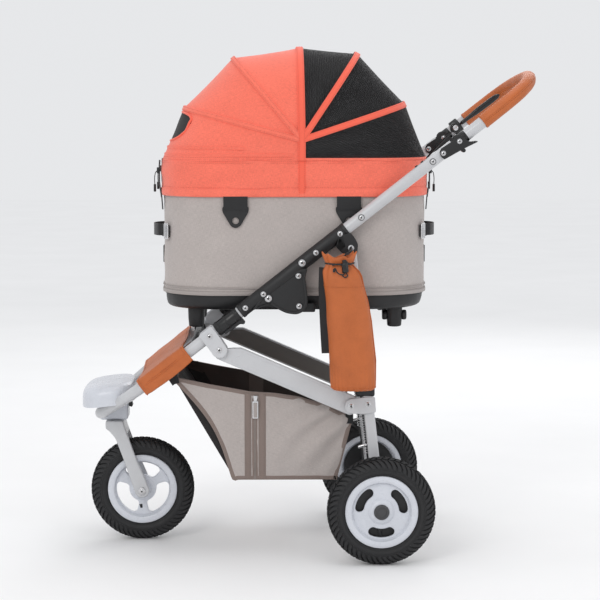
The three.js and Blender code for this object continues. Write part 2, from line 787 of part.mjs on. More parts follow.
// Half of the cot's rim, towards the front (dir -1) or the rear (dir +1), at the foot of the hood.
const RIM_Z = BAND.z1 + 1;
function rimRow(dir) {
  const row = (inset) => {
    const end = dir < 0 ? COT.x0 - 2 + inset : COT.x1 + 2 - inset;
    const corner = COT.corner - inset;
    const half = 161 - inset;
    const start = HOOD_PIVOT[0] + dir * 3;
    const straight = Math.abs(end - dir * corner - start);
    const curve = (Math.PI / 2) * corner;
    const across = 2 * (half - corner);
    const total = 2 * (straight + curve) + across;
    return stations.map((t) => {
      let d = t * total;
      const flip = d > total / 2;
      d = flip ? total - d : d;
      let x;
      let y;
      if (d < straight) {
        [x, y] = [start + dir * d, -half];
      } else if (d < straight + curve) {
        const a = (d - straight) / corner;
        [x, y] = [end - dir * corner * (1 - Math.sin(a)), -half + corner * (1 - Math.cos(a))];
      } else {
        [x, y] = [end, -half + corner + (d - straight - curve)];
      }
      return [x, flip ? -y : y, RIM_Z];
    });
  };
  return [...row(0), ...row(3).reverse()];
}
const hoopOf = (i) => hoopRow(HOOPS[i].angle, HOOPS[i].reach);
const crest = HOOPS[2];
node(stroller, 'hood_front', loft([rimRow(-1), hoopOf(0), hoopOf(1), hoopRow(crest.angle + 0.2, crest.reach)]), CORAL());
node(stroller, 'hood_rear', loft([hoopRow(crest.angle - 0.2, crest.reach), hoopOf(3), hoopOf(4), rimRow(1)]), paint(0x2c2a2b, 0.9));

// ---------- bottle bag ----------
const BAG_Y = -232;
const bagRow = (z, cx, ax, ay) => {
  const n = 20;
  return Array.from({ length: n }, (_, i) => {
    const a = (2 * Math.PI * i) / n;
    const c = Math.cos(a);
    const s = Math.sin(a);
    return [
      cx + ax * Math.sign(c) * Math.abs(c) ** 0.8,
      BAG_Y + ay * Math.sign(s) * Math.abs(s) ** 0.8,
      z,
    ];
  });
};
const bag = loft([
  bagRow(358, 88, 40, 26),
  bagRow(366, 88, 46, 31),
  bagRow(420, 87, 47, 32),
  bagRow(540, 74, 43, 31.5),
  bagRow(596, 62, 37, 27),
  bagRow(612, 58.5, 24, 17),
  bagRow(630, 57, 30, 20),
]);
node(stroller, 'bottle_bag', bag, LEATHER());

export default stroller;
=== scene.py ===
"""Three-wheeled pet stroller: the visible model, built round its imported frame. Metres, Z up."""

from math import copysign, cos, hypot, pi, radians, sin, sqrt

import bmesh
import bpy
from mathutils import Matrix, Vector, noise


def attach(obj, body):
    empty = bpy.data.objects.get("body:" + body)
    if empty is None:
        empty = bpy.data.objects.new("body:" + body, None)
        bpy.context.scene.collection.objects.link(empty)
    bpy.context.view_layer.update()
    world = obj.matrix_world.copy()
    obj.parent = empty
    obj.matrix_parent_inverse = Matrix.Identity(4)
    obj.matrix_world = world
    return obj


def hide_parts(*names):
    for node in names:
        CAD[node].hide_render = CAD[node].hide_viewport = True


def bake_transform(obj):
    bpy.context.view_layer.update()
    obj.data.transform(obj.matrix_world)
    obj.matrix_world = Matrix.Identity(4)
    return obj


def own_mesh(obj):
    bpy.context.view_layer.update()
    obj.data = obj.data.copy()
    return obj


bl_info = {"name": "Pet stroller", "version": (1, 0, 0), "blender": (4, 5, 0),
    "location": "View3D > Sidebar > Stroller",
    "description": "Builds the looks of a three-wheeled pet stroller round its frame", "category": "Object",}

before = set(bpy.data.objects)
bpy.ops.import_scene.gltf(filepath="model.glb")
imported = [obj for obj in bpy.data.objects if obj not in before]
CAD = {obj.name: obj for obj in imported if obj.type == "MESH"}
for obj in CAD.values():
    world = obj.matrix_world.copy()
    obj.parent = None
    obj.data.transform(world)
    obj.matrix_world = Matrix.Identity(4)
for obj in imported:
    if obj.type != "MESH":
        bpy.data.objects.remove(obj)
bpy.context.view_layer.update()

# ---------- places shared by several pieces, in metres ----------
SIDES = (("left", -1), ("right", 1))
FRAME_Y = 0.178  # middle of each side frame
TUBE_R = 0.012
HINGE = (-0.2043, 0.463)  # fold hinge (x, z)
SLOPE = radians(38.06)  # of the main tube
RAIL_FRONT = (-0.1845, 0.435)
RAIL_REAR = (0.0853, 0.3184)
REAR_AXLE = (0.145, 0.111)
FRONT_AXLE = (-0.3554, 0.111)
WHEEL_R = 0.111
TRACK_Y = 0.2425
LEG_TOP = (0.084, 0.6437)
HOOD_PIVOT = (-0.015, 0.8618)
HOOD_HALF = 0.1625
HOOPS = ((165.4, 0.255), (130.2, 0.2215), (91.0, 0.19), (56.2, 0.214), (18.3, 0.231))
COT_X = (-0.304, 0.246)
COT_HALF = 0.158
COT_CORNER = 0.12


# ---------- sizes and colours a user would change ----------
def length_prop(name, text, default):
    return bpy.props.FloatProperty(name=name, description=text, default=default, min=0.0, unit="LENGTH",
        precision=4)


def colour_prop(name, text, default):
    return bpy.props.FloatVectorProperty(name=name, description=text, default=default, size=4,
        subtype="COLOR", min=0, max=1)


class StrollerSizes(bpy.types.PropertyGroup):
    """Sizes of repeated and sewn details."""

    tread_blocks: bpy.props.IntProperty(name="Tread blocks", description="Blocks round each tyre's shoulder",
        default=54, min=12)
    stitch_pitch: length_prop("Stitch pitch", "Distance from stitch to stitch", 0.0042)
    stitch_size: length_prop("Stitch thickness", "Thickness of the sewing thread", 0.0006)
    bolt_radius: length_prop("Bolt radius", "Radius of the frame bolts' heads", 0.0058)
    tooth_pitch: length_prop("Zip tooth pitch", "Distance from tooth to tooth", 0.0022)


class StrollerColours(bpy.types.PropertyGroup):
    """Colours of the stroller's finishes."""

    coral: colour_prop("Coral cloth", "Hood and band", (0.87, 0.165, 0.105, 1))
    coral_binding: colour_prop("Coral binding", "Piping and edges of the hood", (0.88, 0.13, 0.075, 1))
    greige: colour_prop("Grey cloth", "Cot wall and basket", (0.43, 0.385, 0.365, 1))
    taupe: colour_prop("Taupe binding", "Basket bindings and zip tape", (0.215, 0.165, 0.145, 1))
    leather: colour_prop("Leather", "Grip, front cover and bottle bag", (0.47, 0.112, 0.02, 1))
    frame_paint: colour_prop("Frame paint", "Tubes, rails and plates", (0.53, 0.535, 0.55, 1))
    white_plastic: colour_prop("White plastic", "Rims and fender", (0.62, 0.64, 0.69, 1))
    black_plastic: colour_prop("Black plastic", "Brackets, tray and housings", (0.007, 0.007, 0.008, 1))
    rubber: colour_prop("Rubber", "Tyres", (0.011, 0.011, 0.012, 1))
    mesh_cloth: colour_prop("Mesh cloth", "See-through part of the hood", (0.006, 0.0055, 0.006, 1))


def sizes():
    return bpy.context.scene.stroller_sizes


def colours():
    return bpy.context.scene.stroller_colours


def vec(x, y, z):
    return Vector((x, y, z))


# ---------- node trees ----------
class Wiring:
    """Adds and links the nodes of one tree."""

    def __init__(self, tree):
        self.tree = tree

    def add(self, kind, inputs=(), **settings):
        node = self.tree.nodes.new(kind)
        for key, value in settings.items():
            setattr(node, key, value)
        for key, value in dict(inputs).items():
            socket = node.inputs[key]
            if isinstance(value, bpy.types.NodeSocket):
                self.tree.links.new(value, socket)
            elif value is not None:
                socket.default_value = value
        return node

    def math(self, operation, a, b=0.0):
        return self.add("ShaderNodeMath", {0: a, 1: b}, operation=operation).outputs[0]

    def ramp(self, factor, stops):
        node = self.add("ShaderNodeValToRGB", {"Fac": factor})
        ramp = node.color_ramp
        while len(ramp.elements) < len(stops):
            ramp.elements.new(0.5)
        for element, (place, value) in zip(ramp.elements, stops):
            element.position = place
            element.color = value
        return node.outputs["Color"]


def shade(colour, factor):
    return tuple(min(1.0, c * factor) for c in colour[:3]) + (1.0,)


def grey(v):
    return (v, v, v, 1.0)


def new_material(name, metallic=0.0, **constants):
    """A material with one Principled shader whose plain numbers are set on its own sockets."""
    material = bpy.data.materials.new(name)
    material.use_nodes = True
    tree = material.node_tree
    tree.nodes.clear()
    w = Wiring(tree)
    shader = w.add("ShaderNodeBsdfPrincipled")
    shader.inputs["Metallic"].default_value = metallic
    for key, value in constants.items():
        shader.inputs[key.replace("_", " ").title().replace("Ior", "IOR")].default_value = value
    out = w.add("ShaderNodeOutputMaterial")
    tree.links.new(shader.outputs[0], out.inputs[0])
    return material, w, shader


def bump(w, shader, height, strength, distance, previous=None):
    node = w.add("ShaderNodeBump", {"Strength": strength, "Distance": distance, "Height": height})
    if previous is not None:
        w.tree.links.new(previous, node.inputs["Normal"])
    w.tree.links.new(node.outputs[0], shader.inputs["Normal"])
    return node.outputs[0]


def link(w, socket, target):
    w.tree.links.new(socket, target)


def noise_of(w, vector, scale, detail=4.0, rough=0.5):
    node = w.add("ShaderNodeTexNoise", {"Vector": vector, "Scale": scale, "Detail": detail,
        "Roughness": rough})
    return node.outputs["Fac"]


def stretched(w, vector, factors):
    return w.add("ShaderNodeMapping", {"Vector": vector, "Scale": factors}).outputs[0]


def satin_material(name, colour, rough, grain=900.0, depth=0.00004, coat=0.0, spread=0.06):
    """Paint and moulded plastic: a fine skin texture, small changes of gloss and faint dirt."""
    material, w, shader = new_material(name, coat_weight=coat, coat_roughness=0.15)
    place = w.add("ShaderNodeTexCoord").outputs["Object"]
    cloud = noise_of(w, place, 14.0, 5.0, 0.6)
    tint = w.ramp(cloud, [(0.3, shade(colour, 0.93)), (0.7, shade(colour, 1.05))])
    link(w, tint, shader.inputs["Base Color"])
    scuffs = noise_of(w, place, 60.0, 6.0, 0.7)
    gloss = w.ramp(scuffs, [(0.35, grey(max(0.05, rough - spread))), (0.7, grey(rough + spread))])
    link(w, gloss, shader.inputs["Roughness"])
    bump(w, shader, noise_of(w, place, grain, 3.0), 0.25, depth)
    return material


def metal_material(name, colour, rough):
    material, w, shader = new_material(name, metallic=1.0)
    place = w.add("ShaderNodeTexCoord").outputs["Object"]
    fine = noise_of(w, stretched(w, place, (300, 2500, 300)), 1.0, 4.0)
    tint = w.ramp(fine, [(0.3, shade(colour, 0.85)), (0.7, shade(colour, 1.1))])
    link(w, tint, shader.inputs["Base Color"])
    link(w, w.ramp(fine, [(0.3, grey(rough * 0.8)), (0.7, grey(rough * 1.3))]), shader.inputs["Roughness"])
    bump(w, shader, fine, 0.2, 0.00003)
    return material


def cloth_material(name, colour, contrast=0.2, pitch=0.0011, sheen=0.25, rough=0.85, slub=1.0):
    """Woven melange: threads both ways on the piece's UV map, which is in metres."""
    material, w, shader = new_material(name, sheen_weight=sheen, sheen_roughness=0.5)
    uv = w.add("ShaderNodeTexCoord").outputs["UV"]
    place = w.add("ShaderNodeTexCoord").outputs["Object"]
    warp = noise_of(w, stretched(w, uv, (1.2 / pitch, 0.13 / pitch, 1)), 1.0, 3.0, 0.65)
    weft = noise_of(w, stretched(w, uv, (0.13 / pitch, 1.2 / pitch, 1)), 1.0, 3.0, 0.65)
    blend = w.math("MULTIPLY", w.math("ADD", warp, weft), 0.5)
    patch = noise_of(w, place, 22.0, 3.0)
    fade = w.math("MULTIPLY", patch, 0.12 * slub)
    mixed = w.math("ADD", w.math("SUBTRACT", blend, 0.06 * slub), fade)
    tint = w.ramp(mixed, [(0.36, shade(colour, 1 - contrast)), (0.5, shade(colour, 1.0)),
        (0.64, shade(colour, 1 + contrast))])
    link(w, tint, shader.inputs["Base Color"])
    threads = w.add("ShaderNodeSeparateXYZ", {0: uv})
    turn = 2 * pi / pitch
    across = w.math("SINE", w.math("MULTIPLY", threads.outputs["X"], turn))
    along = w.math("SINE", w.math("MULTIPLY", threads.outputs["Y"], turn))
    weave = w.math("MULTIPLY", across, along)
    height = w.math("ADD", w.math("MULTIPLY", weave, 0.5), w.math("MULTIPLY", mixed, 1.5))
    link(w, w.ramp(blend, [(0.3, grey(rough - 0.06)), (0.7, grey(rough + 0.08))]), shader.inputs["Roughness"])
    soft = bump(w, shader, noise_of(w, place, 30.0, 3.0), 0.3, 0.0012)
    bump(w, shader, height, 0.5, 0.0002, soft)
    return material


def mesh_material(name, colour, hole=0.0044, open_share=0.16):
    """Open knitted mesh: round holes in staggered rows on the UV map, which is in metres."""
    material, w, shader = new_material(name, specular_ior_level=0.35)
    uv = w.add("ShaderNodeTexCoord").outputs["UV"]
    split = w.add("ShaderNodeSeparateXYZ", {0: uv})
    turn = 2 * pi / hole
    a = w.math("COSINE", w.math("MULTIPLY", split.outputs["X"], turn))
    b = w.math("COSINE", w.math("MULTIPLY", split.outputs["Y"], turn * 0.6))
    pattern = w.math("MULTIPLY", a, b)
    edge = 0.62 - open_share
    opened = w.ramp(w.math("ABSOLUTE", pattern), [(edge, grey(1)), (edge + 0.16, grey(0.5))])
    link(w, opened, shader.inputs["Alpha"])
    place = w.add("ShaderNodeTexCoord").outputs["Object"]
    cloud = noise_of(w, place, 500.0, 3.0)
    link(w, w.ramp(cloud, [(0.3, shade(colour, 0.7)), (0.7, shade(colour, 1.7))]),
        shader.inputs["Base Color"])
    link(w, w.ramp(cloud, [(0.3, grey(0.6)), (0.7, grey(0.8))]), shader.inputs["Roughness"])
    bump(w, shader, opened, 0.5, 0.0002)
    return material


def leather_material(name, colour):
    """Grained leather: cells of uneven size, worn lighter on the ridges."""
    material, w, shader = new_material(name, coat_weight=0.06, coat_roughness=0.4)
    place = w.add("ShaderNodeTexCoord").outputs["Object"]
    warped = w.add("ShaderNodeVectorMath", {0: place, 1: w.add("ShaderNodeVectorMath",
        {0: w.add("ShaderNodeTexNoise", {"Vector": place, "Scale": 120.0}).outputs["Color"],
        1: (0.004, 0.004, 0.004)}, operation="MULTIPLY").outputs[0]}, operation="ADD").outputs[0]
    cells = w.add("ShaderNodeTexVoronoi", {"Vector": warped, "Scale": 620.0}, feature="DISTANCE_TO_EDGE")
    grain = w.ramp(cells.outputs["Distance"], [(0.0, grey(0)), (0.16, grey(1))])
    cloud = noise_of(w, place, 18.0, 5.0, 0.6)
    mottled = w.math("ADD", w.math("MULTIPLY", cloud, 0.8), w.math("MULTIPLY", grain, 0.2))
    tint = w.ramp(mottled, [(0.25, shade(colour, 0.78)), (0.5, colour), (0.8, shade(colour, 1.15))])
    link(w, tint, shader.inputs["Base Color"])
    link(w, w.ramp(mottled, [(0.3, grey(0.62)), (0.75, grey(0.46))]), shader.inputs["Roughness"])
    crease = bump(w, shader, noise_of(w, place, 45.0, 4.0), 0.25, 0.0014)
    bump(w, shader, grain, 0.35, 0.00018, crease)
    return material


def rubber_material(name, colour):
    material, w, shader = new_material(name)
    place = w.add("ShaderNodeTexCoord").outputs["Object"]
    dust = noise_of(w, place, 38.0, 6.0, 0.7)
    tint = w.ramp(dust, [(0.35, shade(colour, 0.8)), (0.75, shade(colour, 1.7))])
    link(w, tint, shader.inputs["Base Color"])
    link(w, w.ramp(dust, [(0.3, grey(0.55)), (0.7, grey(0.8))]), shader.inputs["Roughness"])
    bump(w, shader, noise_of(w, place, 1400.0, 2.0), 0.3, 0.00005)
    return material


MATERIALS = {}


def make_materials():
    c = colours()
    tone = {key: tuple(getattr(c, key)) for key in c.__annotations__}
    MATERIALS.update(paint=satin_material("frame_paint", tone["frame_paint"], 0.36, coat=0.25),
        white=satin_material("white_plastic", tone["white_plastic"], 0.3, grain=600.0),
        black=satin_material("black_plastic", tone["black_plastic"], 0.5, depth=0.00008),
        gloss_black=satin_material("gloss_black", shade(tone["black_plastic"], 0.8), 0.3),
        liner=satin_material("grey_liner", (0.16, 0.145, 0.135, 1), 0.55),
        hub_grey=satin_material("hub_grey", (0.05, 0.05, 0.053, 1), 0.5),
        steel=metal_material("bolt_steel", (0.62, 0.62, 0.63, 1), 0.22),
        # dark steel for buttons, hoops and zip teeth, also used as painted shade in the bolts' sockets
        dark_steel=metal_material("socket_steel", (0.09, 0.09, 0.09, 1), 0.4),
        coral=cloth_material("coral_cloth", tone["coral"], contrast=0.2),
        coral_binding=cloth_material("coral_binding", tone["coral_binding"], contrast=0.08, pitch=0.0008),
        coral_thread=satin_material("coral_thread", shade(tone["coral"], 0.62), 0.7),
        greige=cloth_material("grey_cloth", tone["greige"], contrast=0.16),
        greige_hem=cloth_material("grey_hem", shade(tone["greige"], 0.8), contrast=0.1, pitch=0.0008),
        grey_thread=satin_material("grey_thread", (0.26, 0.225, 0.205, 1), 0.7),
        taupe=cloth_material("taupe_binding", tone["taupe"], contrast=0.1, pitch=0.0009),
        # taupe at 0.45 of its colour is painted shade, for the zip tape seen in shadow inside the basket
        taupe_dark=cloth_material("taupe_inner", shade(tone["taupe"], 0.45), contrast=0.1, pitch=0.0009),
        lining=cloth_material("dark_lining", (0.045, 0.032, 0.028, 1), contrast=0.15),
        webbing=cloth_material("black_webbing", (0.014, 0.014, 0.015, 1), contrast=0.25, pitch=0.0016),
        mesh=mesh_material("black_mesh", tone["mesh_cloth"]),
        dense_mesh=cloth_material("dark_mesh", (0.016, 0.014, 0.014, 1), contrast=0.5, pitch=0.0022,
        sheen=0.05), leather=leather_material("tan_leather", tone["leather"]),
        leather_thread=satin_material("leather_thread", shade(tone["leather"], 0.6), 0.7),
        rubber=rubber_material("tyre_rubber", tone["rubber"]))


# ---------- mesh building ----------
def new_object(name, verts, faces, uvs=None):
    mesh = bpy.data.meshes.new(name)
    mesh.from_pydata([tuple(v) for v in verts], [], faces)
    if uvs is not None:
        layer = mesh.uv_layers.new(name="UVMap")
        for loop in mesh.loops:
            layer.data[loop.index].uv = uvs[loop.vertex_index]
    mesh.update()
    obj = bpy.data.objects.new(name, mesh)
    bpy.context.scene.collection.objects.link(obj)
    return obj


def soften(obj, angle=38.0):
    """Smooth shading with sharp edges kept past an angle."""
    mesh = obj.data
    mesh.polygons.foreach_set("use_smooth", [True] * len(mesh.polygons))
    mesh.set_sharp_from_angle(angle=radians(angle))
    return obj


def applied(obj):
    """Turns an object's modifiers, or a curve, into its plain mesh."""
    graph = bpy.context.evaluated_depsgraph_get()
    mesh = bpy.data.meshes.new_from_object(obj.evaluated_get(graph), depsgraph=graph)
    name = obj.name
    if obj.type == "MESH":
        obj.modifiers.clear()
        old = obj.data
        obj.data = mesh
        bpy.data.meshes.remove(old)
        return obj
    bpy.data.objects.remove(obj)
    fresh = bpy.data.objects.new(name, mesh)
    bpy.context.scene.collection.objects.link(fresh)
    return fresh


def modified(obj, *modifiers):
    for kind, values in modifiers:
        modifier = obj.modifiers.new(kind.title(), kind)
        for key, value in values.items():
            setattr(modifier, key, value)
    return applied(obj)


BEVEL = "BEVEL"


def bevelled(obj, width, segments=3, angle=35.0):
    modified(obj, (BEVEL, {"width": width, "segments": segments, "limit_method": "ANGLE",
        "angle_limit": radians(angle), "use_clamp_overlap": True}))
    return soften(obj, 50.0)


def subdivided(obj, levels=1):
    modified(obj, ("SUBSURF", {"levels": levels, "render_levels": levels}))
    return soften(obj, 60.0)


def walled(obj, thickness, offset=-1.0):
    return modified(obj, ("SOLIDIFY", {"thickness": thickness, "offset": offset}))


def outward(obj):
    bm = bmesh.new()
    bm.from_mesh(obj.data)
    bmesh.ops.remove_doubles(bm, verts=bm.verts, dist=1e-6)
    bmesh.ops.recalc_face_normals(bm, faces=bm.faces)
    bm.to_mesh(obj.data)
    bm.free()
    return obj


def coat(obj, *names):
    """Gives the object its materials, the first one for every face not set otherwise."""
    obj.data.materials.clear()
    for name in names:
        obj.data.materials.append(MATERIALS[name])
    return obj


def place(obj, body, slot, *nodes):
    """Makes a finished piece ride its body and stand for CAD nodes, which it hides; its slot is not used."""
    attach(obj, body)
    if nodes:
        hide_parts(*nodes)
    return obj


def copied(node, name, bevel=0.0008, segments=2, merge_flat=True, angle=30.0):
    """A finer copy of a CAD node: flat faces joined and its edges rounded."""
    obj = bpy.data.objects.new(name, CAD[node].data.copy())
    bpy.context.scene.collection.objects.link(obj)
    bm = bmesh.new()
    bm.from_mesh(obj.data)
    bmesh.ops.remove_doubles(bm, verts=bm.verts, dist=2e-6)
    if merge_flat:
        bmesh.ops.dissolve_limit(bm, angle_limit=radians(1.5), verts=bm.verts, edges=bm.edges)
    for face in bm.faces:
        face.smooth = True
    bm.to_mesh(obj.data)
    bm.free()
    obj.data.materials.clear()
    if bevel:
        bevelled(obj, bevel, segments, angle)
    else:
        soften(obj, angle)
    return obj


def joined(name, pieces):
    """Joins mesh objects into one, each keeping its materials."""
    slots = []
    verts, faces, indices, smooth, uvs = [], [], [], [], []
    for piece in pieces:
        mesh = piece.data
        base = len(verts)
        verts.extend(v.co.copy() for v in mesh.vertices)
        remap = []
        for material in mesh.materials:
            if material not in slots:
                slots.append(material)
            remap.append(slots.index(material))
        layer = mesh.uv_layers.active
        for polygon in mesh.polygons:
            faces.append([base + v for v in polygon.vertices])
            indices.append(remap[polygon.material_index] if remap else 0)
            smooth.append(polygon.use_smooth)
            for loop in polygon.loop_indices:
                uvs.append(tuple(layer.data[loop].uv) if layer else (0.0, 0.0))
    mesh = bpy.data.meshes.new(name)
    mesh.from_pydata(verts, [], faces)
    for material in slots:
        mesh.materials.append(material)
    mesh.polygons.foreach_set("material_index", indices)
    mesh.polygons.foreach_set("use_smooth", smooth)
    layer = mesh.uv_layers.new(name="UVMap")
    layer.data.foreach_set("uv", [c for uv in uvs for c in uv])
    mesh.update()
    mesh.set_sharp_from_angle(angle=radians(45))
    for piece in pieces:
        bpy.data.objects.remove(piece)
    obj = bpy.data.objects.new(name, mesh)
    bpy.context.scene.collection.objects.link(obj)
    return obj


def curved(points, count, closed=False):
    """Even points along a smooth curve through the given ones."""
    p = [Vector(v) for v in points]
    n = len(p)
    spans = n if closed else n - 1
    dense = []
    for i in range(spans):
        a = p[(i - 1) % n] if closed or i else p[0] * 2 - p[1]
        b, c = p[i], p[(i + 1) % n]
        d = p[(i + 2) % n] if closed or i + 2 < n else p[-1] * 2 - p[-2]
        for k in range(16):
            t = k / 16
            dense.append(0.5 * ((2 * b) + (c - a) * t + (2 * a - 5 * b + 4 * c - d) * t * t
                + (3 * b - a - 3 * c + d) * t ** 3))
    dense.append(p[0].copy() if closed else p[-1].copy())
    return evenly(dense, count, closed)


def evenly(points, count, closed=False):
    lengths = [0.0]
    for a, b in zip(points, points[1:]):
        lengths.append(lengths[-1] + (b - a).length)
    out = []
    j = 0
    last = count if closed else count - 1
    for i in range(count):
        target = lengths[-1] * i / last
        while j < len(lengths) - 2 and lengths[j + 1] < target:
            j += 1
        span = lengths[j + 1] - lengths[j] or 1.0
        out.append(points[j].lerp(points[j + 1], (target - lengths[j]) / span))
    return out


def sweep(name, path, section, closed=False, up=None, scale=None):
    """Carries a closed section, points (side, up) or a radius, along a path, with UVs in metres."""
    if not isinstance(section, (list, tuple)):
        sides = 20 if section > 0.004 else 10
        section = [(section * cos(2 * pi * i / sides), section * sin(2 * pi * i / sides))
            for i in range(sides)]
    n, m = len(path), len(section)
    tangents = []
    for i in range(n):
        a = path[i - 1] if closed or i else path[0]
        b = path[(i + 1) % n] if closed or i + 1 < n else path[-1]
        tangents.append((b - a).normalized())
    seed = Vector(up) if up is not None else vec(0, 0, 1)
    if abs(seed.normalized().dot(tangents[0])) > 0.95:
        seed = vec(0, 1, 0)
    verts, uvs = [], []
    normal = (seed - tangents[0] * seed.dot(tangents[0])).normalized()
    around = [0.0]
    for i in range(1, m + 1):
        a, b = section[i - 1], section[i % m]
        around.append(around[-1] + hypot(b[0] - a[0], b[1] - a[1]))
    run = 0.0
    for i in range(n):
        t = tangents[i]
        source = Vector(up) if up is not None else normal
        normal = (source - t * source.dot(t)).normalized()
        side = t.cross(normal)
        grow = scale(i / (n - 1)) if scale else 1.0
        if i:
            run += (path[i] - path[i - 1]).length
        for j in range(m + 1):
            s, u = section[j % m]
            verts.append(path[i] + side * s * grow + normal * u * grow)
            uvs.append((run, around[j]))
    rings = n if closed else n - 1
    faces = []
    w = m + 1
    for i in range(rings):
        a, b = i * w, ((i + 1) % n) * w
        for j in range(m):
            faces.append((a + j, a + j + 1, b + j + 1, b + j))
    if not closed:
        faces.append(list(range(m)))
        faces.append(list(range((n - 1) * w + m - 1, (n - 1) * w - 1, -1)))
    obj = new_object(name, verts, faces, uvs)
    outward(obj)
    return soften(obj, 50)


def revolved(name, profile, centre, segments=96, closed=True):
    """A profile (radius, y) turned round the cross axis through the centre."""
    cx, cy, cz = centre
    m = len(profile)
    verts, uvs = [], []
    for i in range(segments):
        a = 2 * pi * i / segments
        for r, y in profile:
            verts.append((cx + r * cos(a), cy + y, cz + r * sin(a)))
            uvs.append((a * WHEEL_R, y + r))
    faces = []
    for i in range(segments):
        a, b = i * m, ((i + 1) % segments) * m
        for j in range(m if closed else m - 1):
            k = (j + 1) % m
            faces.append((a + j, a + k, b + k, b + j))
    obj = new_object(name, verts, faces, uvs)
    outward(obj)
    return soften(obj, 40)


def plate(name, outlines, y0, y1, bevel=0.0006, resolution=2):
    """A flat plate in the side plane, its first outline the edge and the rest holes, from y0 to y1."""
    curve = bpy.data.curves.new(name, "CURVE")
    curve.dimensions = "2D"
    curve.fill_mode = "BOTH"
    curve.extrude = abs(y1 - y0) / 2 - bevel
    curve.bevel_depth = bevel
    curve.bevel_resolution = resolution
    curve.offset = -bevel
    for outline in outlines:
        spline = curve.splines.new("POLY")
        spline.points.add(len(outline) - 1)
        for point, (x, z) in zip(spline.points, outline):
            point.co = (x, z, 0, 1)
        spline.use_cyclic_u = True
    obj = bpy.data.objects.new(name, curve)
    bpy.context.scene.collection.objects.link(obj)
    obj = applied(obj)
    obj.name = name
    turn = Matrix(((1, 0, 0, 0), (0, 0, -1, (y0 + y1) / 2), (0, 1, 0, 0), (0, 0, 0, 1)))
    obj.data.transform(turn)
    outward(obj)
    return soften(obj, 40)


def arc(cx, cz, r, start, end, steps=12):
    return [(cx + r * cos(radians(start + (end - start) * i / steps)),
        cz + r * sin(radians(start + (end - start) * i / steps))) for i in range(steps + 1)]


def rounded(outline, radius, steps=5):
    """The outline with its corners rounded."""
    out = []
    n = len(outline)
    for i in range(n):
        a, b, c = (Vector(outline[(i + k) % n]).to_2d() for k in (-1, 0, 1))
        u, v = (a - b), (c - b)
        r = min(radius, u.length * 0.45, v.length * 0.45)
        p, q = b + u.normalized() * r, b + v.normalized() * r
        for k in range(steps + 1):
            t = k / steps
            out.append(tuple((1 - t) ** 2 * p + 2 * t * (1 - t) * b + t * t * q))
    return out


def bean(cx, cz, r0, r1, middle, half, corner):
    """Outline of a curved slot between two radii, with round corners."""
    mean, high = (r0 + r1) / 2, (r1 - r0) / 2
    wide = mean * radians(half)
    flat = []
    for sx, sy, start in ((1, 1, 0), (-1, 1, 90), (-1, -1, 180), (1, -1, 270)):
        flat += [(sx * (wide - corner) + x, sy * (high - corner) + y)
            for x, y in arc(0, 0, corner, start, start + 90, 8)]
    out = []
    for (x0, y0), (x1, y1) in zip(flat, flat[1:] + flat[:1]):
        n = max(1, round(abs(x1 - x0) / 0.003))
        out += [(x0 + (x1 - x0) * i / n, y0 + (y1 - y0) * i / n) for i in range(n)]
    turn = radians(middle)
    return [(cx + (mean + y) * cos(turn - x / mean), cz + (mean + y) * sin(turn - x / mean)) for x, y in out]


def rod(name, a, b, radius, bevel=0.0008, sides=32):
    """A round bar from a to b with eased ends."""
    a, b = Vector(a), Vector(b)
    t = (b - a).normalized()
    path = [a, a + t * bevel * 0.3, a + t * bevel, b - t * bevel, b - t * bevel * 0.3, b]
    ease = [1 - bevel / radius, 1 - 0.3 * bevel / radius, 1, 1, 1 - 0.3 * bevel / radius, 1 - bevel / radius]
    section = [(radius * cos(2 * pi * i / sides), radius * sin(2 * pi * i / sides)) for i in range(sides)]
    return sweep(name, path, section, scale=lambda f: ease[min(5, round(f * 5))])


def ruled(name, rows, closed=False, capped=False):
    """A skin through rows of points, with UVs in metres."""
    m = len(rows[0])
    verts = [p for row in rows for p in row]
    uvs = []
    down = [0.0] * m
    for i, row in enumerate(rows):
        run = 0.0
        for j, p in enumerate(row):
            if j:
                run += (Vector(p) - Vector(row[j - 1])).length
            if i:
                down[j] += (Vector(p) - Vector(rows[i - 1][j])).length
            uvs.append((run, down[j]))
    faces = []
    for i in range(len(rows) - 1):
        for j in range(m if closed else m - 1):
            k = (j + 1) % m
            faces.append((i * m + j, i * m + k, (i + 1) * m + k, (i + 1) * m + j))
    if capped:
        faces.append(list(range(m))[::-1])
        faces.append([(len(rows) - 1) * m + j for j in range(m)])
    obj = new_object(name, verts, faces, uvs)
    return soften(obj, 50)


def box_block(name, low, high, bevel=0.001):
    x0, y0, z0 = low
    x1, y1, z1 = high
    verts = [(x, y, z) for x in (x0, x1) for y in (y0, y1) for z in (z0, z1)]
    faces = [(0, 1, 3, 2), (4, 6, 7, 5), (0, 4, 5, 1), (2, 3, 7, 6), (0, 2, 6, 4), (1, 5, 7, 3)]
    obj = new_object(name, verts, faces)
    outward(obj)
    return bevelled(obj, bevel)


# Point on a side frame's plane, s along the main tube from the fold hinge and n above it.
def on_tube(s, n=0.0):
    return (HINGE[0] + s * cos(SLOPE) - n * sin(SLOPE), HINGE[1] + s * sin(SLOPE) + n * cos(SLOPE))


def at(s, y, n=0.0):
    x, z = on_tube(s, n)
    return vec(x, y, z)


def leg_x(z):
    return LEG_TOP[0] + (REAR_AXLE[0] - LEG_TOP[0]) * (LEG_TOP[1] - z) / (LEG_TOP[1] - WHEEL_R)


def stadium(x0, x1, half, corner, z, steps=12, straight=10):
    """Rounded rectangle seen from above, as an even loop of points."""
    c = min(corner, half - 0.001)
    loop = []
    for cx, cy, start in ((x1 - c, half - c, 0), (x0 + c, half - c, 90), (x0 + c, -half + c, 180),
            (x1 - c, -half + c, 270)):
        for i in range(steps + 1):
            a = radians(start + 90 * i / steps)
            loop.append(vec(cx + c * cos(a), cy + c * sin(a), z))
    return evenly(loop + [loop[0]], 4 * (steps + straight), True)


